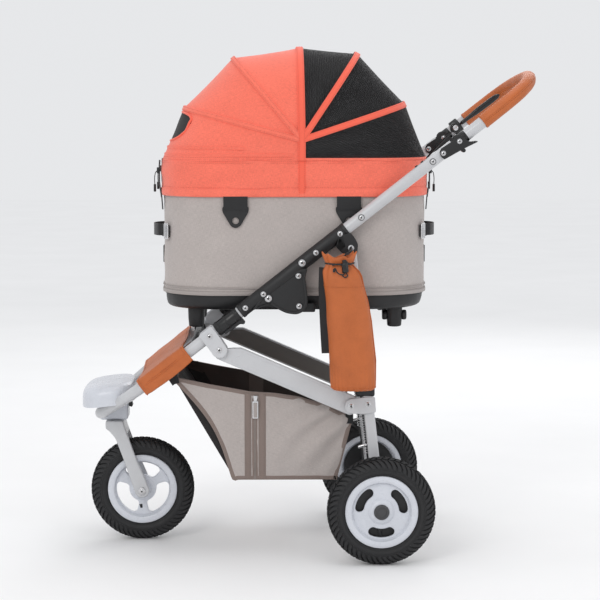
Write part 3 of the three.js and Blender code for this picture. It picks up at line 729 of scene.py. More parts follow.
def rect(w, t):
    """Section of a strap, tape or square bar, from half its width and half its thickness."""
    return [(-w, -t), (w, -t), (w, t), (-w, t)]


def facing(skin, index, wanted):
    """Turns the skin over when the face at index looks the wrong way."""
    face = skin.data.polygons[index]
    if face.normal.dot(wanted(face.center)) < 0:
        skin.data.flip_normals()


# ---------- repeated details, made by geometry nodes ----------
def node_group(name, inputs):
    """A geometry tree with a Geometry input, named inputs and a Geometry output."""
    tree = bpy.data.node_groups.new(name, "GeometryNodeTree")
    tree.interface.new_socket("Geometry", in_out="INPUT", socket_type="NodeSocketGeometry")
    for label, kind, default in inputs:
        socket = tree.interface.new_socket(label, in_out="INPUT", socket_type=kind)
        if default is not None:
            socket.default_value = default
    tree.interface.new_socket("Geometry", in_out="OUTPUT", socket_type="NodeSocketGeometry")
    w = Wiring(tree)
    return tree, w, w.add("NodeGroupInput"), w.add("NodeGroupOutput")


def grown(obj, tree, values):
    """Runs a geometry tree on an object and keeps its result as a plain mesh."""
    modifier = obj.modifiers.new("Geometry", "NODES")
    modifier.node_group = tree
    for item in tree.interface.items_tree:
        if item.in_out == "INPUT" and item.name in values:
            modifier[item.identifier] = values[item.name]
    return applied(obj)


FLOAT, INT, VECTOR, MATERIAL = ("NodeSocketFloat", "NodeSocketInt", "NodeSocketVector", "NodeSocketMaterial")


def stitch_tree():
    """Thread stitches laid end to end along every line of the mesh."""
    tree, w, start, end = node_group("Stitches", [("Pitch", FLOAT, 0.004), ("Length", FLOAT, 0.0028),
        ("Thickness", FLOAT, 0.0006), ("Material", MATERIAL, None)])
    curve = w.add("GeometryNodeMeshToCurve", {"Mesh": start.outputs["Geometry"]})
    even = w.add("GeometryNodeResampleCurve", {"Curve": curve.outputs[0], "Length": start.outputs["Pitch"]},
        mode="LENGTH")
    points = w.add("GeometryNodeCurveToPoints", {"Curve": even.outputs[0]}, mode="EVALUATED")
    thread = w.add("GeometryNodeMeshUVSphere", {"Segments": 6, "Rings": 4, "Radius": 0.5})
    size = w.add("ShaderNodeCombineXYZ", {0: start.outputs["Thickness"], 1: start.outputs["Thickness"],
        2: start.outputs["Length"]})
    laid = w.add("GeometryNodeInstanceOnPoints", {"Points": points.outputs["Points"],
        "Instance": thread.outputs["Mesh"], "Rotation": w.add("FunctionNodeAlignRotationToVector",
        {"Vector": points.outputs["Tangent"]}, axis="Z").outputs[0], "Scale": size.outputs[0]})
    real = w.add("GeometryNodeRealizeInstances", {0: laid.outputs[0]})
    done = w.add("GeometryNodeSetMaterial", {0: real.outputs[0], "Material": start.outputs["Material"]})
    w.tree.links.new(done.outputs[0], end.inputs[0])
    return tree


def teeth_tree():
    """Zip teeth: small blocks across a line, turned with it."""
    tree, w, start, end = node_group("Zip teeth", [("Pitch", FLOAT, 0.0022), ("Width", FLOAT, 0.005),
        ("Thickness", FLOAT, 0.0014), ("Material", MATERIAL, None)])
    curve = w.add("GeometryNodeMeshToCurve", {"Mesh": start.outputs["Geometry"]})
    even = w.add("GeometryNodeResampleCurve", {"Curve": curve.outputs[0], "Length": start.outputs["Pitch"]},
        mode="LENGTH")
    points = w.add("GeometryNodeCurveToPoints", {"Curve": even.outputs[0]}, mode="EVALUATED")
    half = w.math("MULTIPLY", start.outputs["Pitch"], 0.6)
    block = w.add("GeometryNodeMeshCube", {"Size": w.add("ShaderNodeCombineXYZ",
        {0: start.outputs["Width"], 1: start.outputs["Thickness"], 2: half}).outputs[0]})
    laid = w.add("GeometryNodeInstanceOnPoints", {"Points": points.outputs["Points"],
        "Instance": block.outputs["Mesh"], "Rotation": points.outputs["Rotation"]})
    real = w.add("GeometryNodeRealizeInstances", {0: laid.outputs[0]})
    done = w.add("GeometryNodeSetMaterial", {0: real.outputs[0], "Material": start.outputs["Material"]})
    w.tree.links.new(done.outputs[0], end.inputs[0])
    return tree


def ring_tree():
    """Copies of the mesh turned round the cross axis at the centre."""
    tree, w, start, end = node_group("Round the axle", [("Count", INT, 3), ("Centre", VECTOR, (0, 0, 0)),
        ("Material", MATERIAL, None)])
    dots = w.add("GeometryNodePoints", {"Count": start.outputs["Count"]})
    index = w.add("GeometryNodeInputIndex").outputs[0]
    turn = w.math("DIVIDE", w.math("MULTIPLY", index, 2 * pi), start.outputs["Count"])
    angle = w.add("ShaderNodeCombineXYZ", {1: turn})
    laid = w.add("GeometryNodeInstanceOnPoints", {"Points": dots.outputs[0],
        "Instance": start.outputs["Geometry"], "Rotation": angle.outputs[0]})
    real = w.add("GeometryNodeRealizeInstances", {0: laid.outputs[0]})
    moved = w.add("GeometryNodeTransform", {0: real.outputs[0], "Translation": start.outputs["Centre"]})
    done = w.add("GeometryNodeSetMaterial", {0: moved.outputs[0], "Material": start.outputs["Material"]})
    w.tree.links.new(done.outputs[0], end.inputs[0])
    return tree


def bolt_tree():
    """Button-head bolts on the mesh's points, along the cross axis, with a dark hexagon on top that is
    painted shade for the socket's recess.
    """
    tree, w, start, end = node_group("Bolts", [("Radius", FLOAT, 0.0055), ("Height", FLOAT, 0.0022),
        ("Side", FLOAT, -1.0), ("Material", MATERIAL, None), ("Socket", MATERIAL, None)])
    radius, height = start.outputs["Radius"], start.outputs["Height"]
    washer = w.add("GeometryNodeMeshCylinder", {"Vertices": 24, "Radius": w.math("MULTIPLY", radius, 1.0),
        "Depth": w.math("MULTIPLY", height, 0.5)})
    dome = w.add("GeometryNodeMeshUVSphere", {"Segments": 24, "Rings": 10, "Radius": 1.0})
    dome_size = w.add("ShaderNodeCombineXYZ", {0: w.math("MULTIPLY", radius, 0.84),
        1: w.math("MULTIPLY", radius, 0.84), 2: height})
    shaped = w.add("GeometryNodeTransform", {0: dome.outputs["Mesh"], "Scale": dome_size.outputs[0]})
    both = w.add("GeometryNodeJoinGeometry")
    w.tree.links.new(washer.outputs["Mesh"], both.inputs[0])
    w.tree.links.new(shaped.outputs[0], both.inputs[0])
    smooth = w.add("GeometryNodeSetShadeSmooth", {0: both.outputs[0]})
    steel = w.add("GeometryNodeSetMaterial", {0: smooth.outputs[0], "Material": start.outputs["Material"]})
    # the dark hexagon is painted shade: it stands where the socket's recess would lie in shadow
    hollow = w.add("GeometryNodeMeshCylinder", {"Vertices": 6, "Radius": w.math("MULTIPLY", radius, 0.42),
        "Depth": w.math("MULTIPLY", height, 0.4)})
    lift = w.add("ShaderNodeCombineXYZ", {2: w.math("MULTIPLY", height, 0.84)})
    raised = w.add("GeometryNodeTransform", {0: hollow.outputs["Mesh"], "Translation": lift.outputs[0]})
    dark = w.add("GeometryNodeSetMaterial", {0: raised.outputs[0], "Material": start.outputs["Socket"]})
    bolt = w.add("GeometryNodeJoinGeometry")
    w.tree.links.new(steel.outputs[0], bolt.inputs[0])
    w.tree.links.new(dark.outputs[0], bolt.inputs[0])
    out = w.add("ShaderNodeCombineXYZ", {1: start.outputs["Side"]})
    turn = w.add("FunctionNodeAlignRotationToVector", {"Vector": out.outputs[0]}, axis="Z")
    laid = w.add("GeometryNodeInstanceOnPoints", {"Points": start.outputs["Geometry"],
        "Instance": bolt.outputs[0], "Rotation": turn.outputs[0]})
    real = w.add("GeometryNodeRealizeInstances", {0: laid.outputs[0]})
    w.tree.links.new(real.outputs[0], end.inputs[0])
    return tree


TREES = {}


def make_trees():
    TREES.update(stitches=stitch_tree(), teeth=teeth_tree(), ring=ring_tree(), bolts=bolt_tree())


def line_object(name, lines):
    """A mesh of open lines, one for each list of points."""
    verts, edges = [], []
    for line in lines:
        base = len(verts)
        verts.extend(tuple(p) for p in line)
        edges.extend((base + i, base + i + 1) for i in range(len(line) - 1))
    mesh = bpy.data.meshes.new(name)
    mesh.from_pydata(verts, edges, [])
    obj = bpy.data.objects.new(name, mesh)
    bpy.context.scene.collection.objects.link(obj)
    return obj


def stitches(lines, thread, pitch=None, size=None):
    s = sizes()
    pitch = pitch or s.stitch_pitch
    size = size or s.stitch_size
    return grown(line_object("seam", lines), TREES["stitches"],
        {"Pitch": pitch, "Length": pitch * 0.72, "Thickness": size, "Material": MATERIALS[thread]})


def zip_teeth(name, lines, metal="steel", width=0.005):
    return grown(line_object(name, lines), TREES["teeth"],
        {"Pitch": sizes().tooth_pitch, "Width": width, "Thickness": 0.0014, "Material": MATERIALS[metal]})


def bolts(name, points, side, radius=None, height=0.0022, metal="steel"):
    mesh = bpy.data.meshes.new(name)
    mesh.from_pydata([tuple(p) for p in points], [], [])
    obj = bpy.data.objects.new(name, mesh)
    bpy.context.scene.collection.objects.link(obj)
    return grown(obj, TREES["bolts"], {"Radius": radius or sizes().bolt_radius, "Height": height,
        "Side": float(side), "Material": MATERIALS[metal], "Socket": MATERIALS["dark_steel"]})


def around(name, obj, count, centre, material):
    """The mesh repeated round the cross axis through the centre; the mesh is made about the origin."""
    obj.name = name
    return grown(obj, TREES["ring"], {"Count": count, "Centre": centre, "Material": MATERIALS[material]})


# ---------- operators: one for each piece or group of like pieces ----------
def area_light(name, spot, target, size, power, tint=(1, 1, 1)):
    light = bpy.data.lights.new(name, "AREA")
    light.shape = "DISK"
    light.size = size
    light.energy = power
    light.color = tint
    obj = bpy.data.objects.new(name, light)
    obj.location = spot
    obj.rotation_euler = (Vector(target) - Vector(spot)).to_track_quat("-Z", "Y").to_euler()
    bpy.context.scene.collection.objects.link(obj)
    return obj


def make_stage():
    data = bpy.data.cameras.new("Camera")
    data.lens = 115.06
    data.sensor_width = 36
    data.clip_end = 100
    camera = bpy.data.objects.new("Camera", data)
    camera.location = (-0.0842, -4.0813, 0.9447)
    camera.rotation_euler = (radians(90 - 5.98), 0, radians(-0.951))
    bpy.context.scene.collection.objects.link(camera)
    bpy.context.scene.camera = camera

    world = bpy.data.worlds.new("Studio")
    world.use_nodes = True
    background = world.node_tree.nodes["Background"]
    background.inputs["Color"].default_value = (0.97, 0.98, 1.0, 1)
    background.inputs["Strength"].default_value = 0.82
    bpy.context.scene.world = world
    bpy.context.scene.view_settings.view_transform = "Standard"

    middle = (0, 0, 0.5)
    area_light("Key", (-1.5, -3.2, 2.6), middle, 1.5, 30, (1, 0.99, 0.97))
    area_light("Fill", (2.6, -2.4, 1.5), middle, 2.2, 9, (0.97, 0.98, 1))
    area_light("Top", (0.1, 0.2, 3.4), middle, 2.2, 17)
    area_light("Back", (0.8, 3.0, 2.2), middle, 2.0, 16)

    floor = new_object("floor", [(-14, -14, 0), (14, -14, 0), (14, 14, 0), (-14, 14, 0)], [(0, 1, 2, 3)])
    material, w, shader = new_material("floor_paper", specular_ior_level=0.0)
    cloud = noise_of(w, w.add("ShaderNodeTexCoord").outputs["Object"], 3.0)
    place = w.add("ShaderNodeTexCoord").outputs["Object"]
    far = w.math("MULTIPLY", w.add("ShaderNodeVectorMath", {0: place}, operation="LENGTH").outputs["Value"],
        0.1)
    tone = w.math("MULTIPLY", w.ramp(cloud, [(0.3, grey(0.975)), (0.7, grey(1.0))]),
        w.ramp(far, [(0.12, grey(0.92)), (0.6, grey(1.0))]))
    link(w, tone, shader.inputs["Base Color"])
    shader.inputs["Roughness"].default_value = 0.8
    floor.data.materials.append(material)


class STROLLER_OT_stage(bpy.types.Operator):
    """Make the camera, the soft studio lights and the pale floor"""

    bl_idname = "stroller.stage"
    bl_label = "Camera, lights and floor"

    def execute(self, context):
        make_stage()
        return {"FINISHED"}


def make_cables():
    def down(k, top):
        return [vec(leg_x(top) - 0.01, k * 0.1639, top)] + [vec(leg_x(z) - 0.013, k * 0.1639, z)
            for z in (0.48, 0.33, 0.215, 0.14)]

    right = [at(0.664, 0.141, 0), at(0.64, 0.146, -0.003), at(0.6, 0.156, -0.01), at(0.56, 0.168, -0.017),
        at(0.5, 0.176, -0.0165), at(0.4, 0.176, -0.0165), at(0.374, 0.175, -0.019), vec(0.103, 0.169, 0.645),
        vec(0.1, 0.1639, 0.61)]
    for side, k in SIDES:
        path = right + down(1, 0.56) if k > 0 else down(-1, 0.6)
        cable = coat(sweep("cable", curved(path, 160), 0.0022), "gloss_black")
        coil = []
        for i in range(260):
            z = 0.3 - 0.085 * i / 259
            a = 2 * pi * 17 * i / 259
            coil.append(vec(leg_x(z) - 0.013 + 0.0042 * cos(a), k * 0.1639 + 0.0042 * sin(a), z))
        spring = coat(sweep("spring", coil, 0.0007), "steel")
        ferrule = coat(rod("ferrule", (leg_x(0.325) - 0.013, k * 0.1639, 0.325),
            (leg_x(0.3) - 0.013, k * 0.1639, 0.3), 0.0038), "black")
        arm = coat(rod("arm", (leg_x(0.232) - 0.03, k * 0.1639, 0.228), (leg_x(0.232), k * 0.1639, 0.236),
            0.0032), "steel")
        pieces = [cable, spring, ferrule, arm]
        if k > 0:
            pieces += [coat(sweep("tie", [at(s, 0.178 + 0.0142 * cos(a), 0.0142 * sin(a) - 0.002)
                for a in [2 * pi * i / 24 for i in range(24)]], rect(0.002, 0.0006), closed=True), "black")
                for s in (0.43, 0.52)]
        obj = joined(f"brake_cable_{side}_look", pieces)
        place(obj, "chassis", "black_plastic", f"brake_cable_{side}")


class STROLLER_OT_cables(bpy.types.Operator):
    """Make the two brake cables, their end springs and clips"""

    bl_idname = "stroller.cables"
    bl_label = "Brake cables"

    def execute(self, context):
        make_cables()
        return {"FINISHED"}


def make_side_frames():
    square = rounded(rect(0.0105, 0.0105), 0.0035)
    for side, k in SIDES:
        y = k * FRAME_Y
        tube = coat(rod("tube", at(-0.009, y), at(0.63, y), TUBE_R, sides=48), "paint")
        buttons = []
        for s in (0.393, 0.577):
            x, z = on_tube(s)
            buttons.append(coat(rod("button", (x, y + k * 0.008, z), (x, y + k * 0.0129, z), 0.0066, 0.0005),
                "dark_steel"))
            buttons.append(bolts("button", [(x, y + k * 0.0128, z)], k, 0.0054, 0.0022))
        clips = [coat(rod("stud", at(s, y, TUBE_R - 0.001), at(s, y, TUBE_R + 0.0018), 0.0035), "black")
            for s in (0.545, 0.56)]
        obj = joined(f"main_tube_{side}", [tube] + buttons + clips)
        place(obj, "chassis", "frame_paint", f"handle_tube_{side}")

        path = [vec(leg_x(z), y, z) for z in (0.66, 0.5, 0.3, 0.094)]
        leg = coat(sweep("leg", path, square, up=(0, 1, 0)), "paint")
        cap = coat(box_block("cap", (0.096, y - 0.0117, 0.337), (0.134, y + 0.0117, 0.362), 0.004), "black")
        foot = coat(box_block("foot", (leg_x(0.094) - 0.0112, y - 0.0112, 0.0925),
            (leg_x(0.094) + 0.0112, y + 0.0112, 0.101), 0.003), "black")
        obj = joined(f"leg_{side}", [leg, cap, foot])
        place(obj, "chassis", "frame_paint", f"rear_leg_{side}")

        outline = arc(0.088, 0.3175, 0.0155, 100, 250) + [(0.11, 0.301), (0.1367, 0.3048), (0.1343, 0.3377),
            (0.112, 0.336)]
        near, far = sorted((k * 0.1889, k * 0.1929))
        body = coat(plate("plate", [rounded(outline, 0.004, 3)], near, far, 0.0012, 3), "paint")
        heads = bolts("heads", [(0.0853, k * 0.1929, 0.3184), (0.1206, k * 0.1929, 0.3222)], k, 0.0062, 0.003)
        pin = coat(rod("pin", (0.0853, k * 0.166, 0.3184), (0.0853, k * 0.19, 0.3184), 0.005), "steel")
        place(joined(f"leg_plate_{side}", [body, heads, pin]), "chassis", "frame_paint", f"rear_plate_{side}")

        housing = coat(copied(f"hinge_housing_{side}", "housing", 0.0022, 3), "black")
        x1, z1 = 0.2708, 0.8356
        x2, z2 = 0.3035, 0.8598
        heads = bolts("heads", [(x1, y + k * 0.0158, z1), (x2, y + k * 0.0158, z2)], k, 0.0052, 0.0026)
        inner = bolts("inner", [(x1, y - k * 0.0158, z1), (x2, y - k * 0.0158, z2)], -k, 0.0052, 0.0026)
        grip = coat(rod("catch", at(0.64, y - 0.015, -0.0205), at(0.64, y + 0.015, -0.0205), 0.0042),
            "gloss_black")
        place(joined(f"handle_hinge_{side}", [housing, heads, inner, grip]), "chassis", "black_plastic",
            f"hinge_housing_{side}")
    x, z = REAR_AXLE
    axle = [coat(rod("bar", (x, -0.213, z), (x, 0.213, z), 0.008), "steel"),
        coat(rod("stub", (x, -0.262, z), (x, 0.262, z), 0.006), "steel")]
    for k in (-1, 1):
        axle.append(coat(rod("collar", (x, k * 0.2, z), (x, k * 0.2128, z), 0.013), "black"))
        axle.append(coat(rod("drum", (x, k * 0.1895, z), (x, k * 0.1985, z), 0.03), "black"))
    place(joined("axle", axle), "chassis", "steel", "rear_axle")
    x = leg_x(0.352)
    bar = [coat(rod("bar", (x, -0.167, 0.352), (x, 0.167, 0.352), 0.009, sides=40), "black")]
    for k in (-1, 1):
        bar.append(coat(rod("flange", (x, k * 0.16, 0.352), (x, k * 0.1672, 0.352), 0.0128), "black"))
    place(joined("cross_bar", bar), "chassis", "black_plastic", "rear_cross_bar")


class STROLLER_OT_side_frames(bpy.types.Operator):
    """Make the main tubes, rear legs, plates, axle and cross bars"""

    bl_idname = "stroller.side_frames"
    bl_label = "Side frames"

    def execute(self, context):
        make_side_frames()
        return {"FINISHED"}


LOBE = [(-0.1196, 0.5135), (-0.0971, 0.5251), (-0.08, 0.53), (-0.073, 0.524), (-0.0625, 0.5168),
    (-0.047, 0.5095)] + arc(-0.0298, 0.5335, 0.026, 262, 358, 18) + [(-0.0054, 0.5618), (-0.0094, 0.5823),
    (-0.0033, 0.6027), (-0.02, 0.6), (-0.06, 0.57), (-0.1, 0.54)]
LUG = [(0.0536, 0.6455), (0.0679, 0.6312)] + arc(0.083, 0.64, 0.015, 230, 345, 12) + [(0.0984, 0.6516),
    (0.092, 0.664), (0.082, 0.675), (0.06, 0.668)]


def make_brackets():
    spots = [(-0.1312, 0.521, 0.0145, 0.0055), (-0.0944, 0.5493, 0.0145, 0.0055),
        (-0.0843, 0.5402, 0.0128, 0.007), (-0.0156, 0.6132, 0.0145, 0.007), (-0.0229, 0.5864, 0.0128, 0.0055),
        (0.0125, 0.6341, 0.0145, 0.0055), (0.0617, 0.6726, 0.0145, 0.0055), (-0.0215, 0.5243, 0.0128, 0.0055)]
    for side, k in SIDES:
        y = k * FRAME_Y
        pieces = [coat(rod("collar", at(0.08, y), at(0.354, y), 0.0144, bevel=0.0022, sides=48), "black")]
        for s in (0.083, 0.351):
            pieces.append(coat(rod("lip", at(s - 0.004, y), at(s + 0.004, y), 0.0152, 0.0014, 48), "black"))
        lobe = [tuple(p) for p in evenly([Vector((x, z)) for x, z in rounded(LOBE, 0.006, 3)]
            + [Vector(rounded(LOBE, 0.006, 3)[0])], 90, True)]
        a, b = sorted((k * 0.172, k * 0.1895))
        pieces.append(coat(plate("lobe", [lobe], a, b, 0.003, 4), "black"))
        centre = Vector((sum(p[0] for p in lobe) / 90, sum(p[1] for p in lobe) / 90))
        inner = [tuple(centre + (Vector(p) - centre) * 0.86) for p in lobe]
        a, b = sorted((k * 0.187, k * 0.1911))
        pieces.append(coat(plate("rim", [lobe, inner], a, b, 0.0011, 2), "black"))
        lug = rounded(LUG, 0.003, 3)
        a, b = sorted((k * 0.1636, k * 0.1666))
        c, d = sorted((k * 0.1888, k * 0.193))
        pieces.append(coat(plate("lug_in", [lug], a, b, 0.001, 2), "black"))
        pieces.append(coat(plate("lug_out", [lug], c, d, 0.0016, 3), "black"))
        a, b = sorted((k * 0.1636, k * 0.193))
        web = [(0.0536, 0.6455), (0.0625, 0.6365), (0.074, 0.646), (0.069, 0.668), (0.06, 0.668)]
        pieces.append(coat(plate("web", [rounded(web, 0.002, 2)], a, b, 0.0012, 2), "black"))
        a, b = sorted((k * 0.141, k * 0.173))
        pieces.append(coat(box_block("dock", (-0.052, a, 0.51), (0.012, b, 0.529), 0.003), "black"))
        for x, z, out, r in spots:
            boss = coat(rod("boss", (x, y + k * 0.009, z), (x, y + k * (out - 0.0002), z), r + 0.0028, 0.001),
                "black")
            pieces.append(boss)
            pieces.append(bolts("bolt", [(x, y + k * out, z)], k, r, 0.0026))
        pieces.append(bolts("bolt", [(0.0842, k * 0.193, 0.6434)], k, 0.0062, 0.0028))
        for x, z, out, r in spots[:4:2]:
            pieces.append(bolts("bolt", [(x, y - k * 0.0144, z)], -k, r, 0.0022))
        place(joined(f"cot_bracket_{side}", pieces), "chassis", "black_plastic", f"bracket_{side}")

        ring = coat(rod("sleeve", at(0.0175, y), at(0.075, y), 0.0144, bevel=0.002, sides=48), "gloss_black")
        parts = [ring]
        for s in (0.024, 0.046, 0.069):
            parts.append(coat(rod("rib", at(s - 0.0022, y), at(s + 0.0022, y), 0.0154, 0.001, 48), "black"))
        lever = [on_tube(0.027, -0.012), on_tube(0.028, -0.018), on_tube(0.064, -0.0195),
            on_tube(0.07, -0.025), on_tube(0.075, -0.023), on_tube(0.0745, -0.012)]
        parts.append(coat(plate("tab", [rounded(lever, 0.002, 3)], y - 0.007, y + 0.007, 0.001, 3), "black"))
        place(joined(f"lock_{side}_look", parts), f"lock_{side}", "black_plastic", f"lock_sleeve_{side}")


class STROLLER_OT_brackets(bpy.types.Operator):
    """Make the black brackets that carry the cot and join the rear legs"""

    bl_idname = "stroller.brackets"
    bl_label = "Brackets"

    def execute(self, context):
        make_brackets()
        return {"FINISHED"}


def make_rails():
    front, rear = Vector(RAIL_FRONT), Vector(RAIL_REAR)
    run = (rear - front).normalized()
    up = Vector((-run.y, run.x))
    length = (rear - front).length

    def on(t, h):
        return tuple(front + run * t + up * h)

    outline = [on(-0.006, -0.012), on(0.002, -0.02), on(length + 0.006, -0.02), on(length + 0.014, -0.012),
        on(length + 0.017, 0), on(length + 0.014, 0.012), on(length + 0.006, 0.02), on(0.04, 0.02),
        on(0.024, 0.0128), on(0.004, 0.0025), on(-0.006, 0)]
    inset = [on(0.006, -0.0165), on(length + 0.004, -0.0165), on(length + 0.01, 0),
        on(length + 0.004, 0.0165), on(0.042, 0.0165), on(0.018, 0.006)]
    bead = [on(0.03, -0.0145), on(length - 0.018, -0.0145), on(length - 0.018, 0.0145), on(0.052, 0.0145)]
    for side, k in SIDES:
        a, b = sorted((k * 0.1712, k * 0.1856))
        pieces = [coat(plate("rail", [rounded(outline, 0.003, 4)], a, b, 0.0022, 4), "paint")]
        a, b = sorted((k * 0.17, k * 0.1725))
        pieces.append(coat(plate("insert", [rounded(inset, 0.003, 4)], a, b, 0.0006, 2), "liner"))
        a, b = sorted((k * 0.184, k * 0.1864))
        pieces.append(coat(plate("face", [rounded(bead, 0.006, 5)], a, b, 0.0008, 3), "paint"))
        place(joined(f"side_rail_{side}", pieces), "side_rails", "frame_paint", f"rail_{side}")


class STROLLER_OT_rails(bpy.types.Operator):
    """Make the side rails: painted channels with a dark insert on their inner face"""

    bl_idname = "stroller.rails"
    bl_label = "Side rails"

    def execute(self, context):
        make_rails()
        return {"FINISHED"}


# Half width of the front tube at each distance in front of the hinge.
TAPER = ((-0.016, 0.178), (-0.06, 0.176), (-0.12, 0.168), (-0.17, 0.156), (-0.205, 0.133), (-0.24, 0.098),
    (-0.275, 0.06), (-0.298, 0.028), (-0.305, 0.0))


def taper_width(s):
    for (s1, w1), (s2, w2) in zip(TAPER, TAPER[1:]):
        if s2 <= s <= s1:
            return w1 + (w2 - w1) * (s - s1) / (s2 - s1)
    return TAPER[0][1]


def make_front_frame():
    half = [at(s, -w) for s, w in TAPER]
    path = half + [vec(p.x, -p.y, p.z) for p in reversed(half[:-1])]
    tube = coat(sweep("tube", curved(path, 180), [(TUBE_R * cos(2 * pi * i / 40),
        TUBE_R * sin(2 * pi * i / 40)) for i in range(40)]), "paint")
    place(joined("front_loop", [tube]), "front_frame", "frame_paint", "front_tube")

    outline = [on_tube(-0.017, 0.013), on_tube(-0.017, -0.014)] + arc(*RAIL_FRONT, 0.0165, 200, 370,
        16) + [on_tube(0.0155, -0.012), on_tube(0.0155, 0.013), on_tube(0.012, 0.015), on_tube(-0.014, 0.015)]
    for side, k in SIDES:
        a, b = sorted((k * 0.1928, k * 0.1964))
        c, d = sorted((k * 0.1596, k * 0.1632))
        shape = rounded(outline, 0.003, 3)
        pieces = [coat(plate("outer", [shape], a, b, 0.0012, 3), "paint"),
            coat(plate("inner", [shape], c, d, 0.001, 2), "paint"),
            coat(rod("pin", (HINGE[0], c + 0.001, HINGE[1]), (HINGE[0], b - 0.001, HINGE[1]), 0.005) if k > 0
            else rod("pin", (HINGE[0], a + 0.001, HINGE[1]), (HINGE[0], d - 0.001, HINGE[1]), 0.005),
            "steel"), bolts("heads", [(HINGE[0], k * 0.1964, HINGE[1]),
            (RAIL_FRONT[0], k * 0.1964, RAIL_FRONT[1])], k, 0.0064, 0.003),
            coat(rod("spacer", (*[RAIL_FRONT[0]], k * 0.1868, RAIL_FRONT[1]),
            (RAIL_FRONT[0], k * 0.193, RAIL_FRONT[1]), 0.009), "black")]
        place(joined(f"fold_plate_{side}", pieces), "front_frame", "frame_paint", f"joint_plate_{side}")
    x, z = on_tube(-0.04)
    bar = [coat(rod("bar", (x, -0.164, z), (x, 0.164, z), 0.009, sides=40), "black")]
    for k in (-1, 1):
        bar.append(coat(rod("cap", (x, k * 0.156, z), (x, k * 0.1642, z), 0.0125), "black"))
    place(joined("fold_bar", bar), "front_frame", "black_plastic", "front_cross_bar")

    block = rounded([(-0.442, 0.2627), (-0.384, 0.2627), (-0.384, 0.318), (-0.398, 0.334), (-0.432, 0.334),
        (-0.446, 0.318), (-0.446, 0.27)], 0.008, 6)
    head = coat(plate("head", [block], -0.027, 0.027, 0.005, 5), "white")
    collar = coat(rod("collar", (-0.413, 0, 0.2625), (-0.413, 0, 0.272), 0.021, 0.002, 40), "black")
    place(joined("head", [head, collar]), "front_frame", "white_plastic", "head_block")

    rows = []
    for z, ax, ay in ((0.304, 57, 103), (0.3095, 57.3, 103.3), (0.318, 57.3, 103.3), (0.326, 57, 103),
            (0.3315, 56, 101.6), (0.337, 54, 99), (0.341, 50.5, 94.5), (0.344, 46, 88), (0.346, 38, 76),
            (0.347, 28, 62), (0.3474, 13, 30), (0.3475, 3, 6)):
        row = []
        for i in range(96):
            a = 2 * pi * i / 96
            c, s = cos(a), sin(a)
            x = ax / 1000 * copysign(abs(c) ** 0.65, c)
            y = ay / 1000 * copysign(abs(s) ** 0.65, s)
            row.append(vec(-0.423 + x, y, z + x * 0.12))
        rows.append(row)
    shell = ruled("fender", rows, closed=True)
    bm = bmesh.new()
    bm.from_mesh(shell.data)
    bm.faces.new([v for v in bm.verts if v.index >= 96 * 11])
    bm.to_mesh(shell.data)
    bm.free()
    outward(shell)
    facing(shell, 500, lambda c: c - vec(-0.423, 0, 0.25))
    walled(shell, 0.003)
    coat(soften(shell, 60), "white")
    rivet = bolts("rivet", [(-0.379, -0.1035, 0.3205)], -1, 0.004, 0.002)
    rivet2 = bolts("rivet", [(-0.379, 0.1035, 0.3205)], 1, 0.004, 0.002)
    place(joined("front_fender", [shell, rivet, rivet2]), "front_frame", "white_plastic", "fender")

    lock = coat(plate("lock", [rounded([(-0.3836, 0.304), (-0.379, 0.304), (-0.375, 0.292), (-0.377, 0.288),
        (-0.3836, 0.29)], 0.0015, 3)], -0.009, 0.009, 0.0008, 3), "black")
    place(joined("swivel_tab", [lock]), "swivel_catch", "black_plastic", "swivel_lock")


class STROLLER_OT_front_frame(bpy.types.Operator):
    """Make the front tube, its joint plates, cross bar, head block, fender and swivel catch"""

    bl_idname = "stroller.front_frame"
    bl_label = "Front frame"

    def execute(self, context):
        make_front_frame()
        return {"FINISHED"}


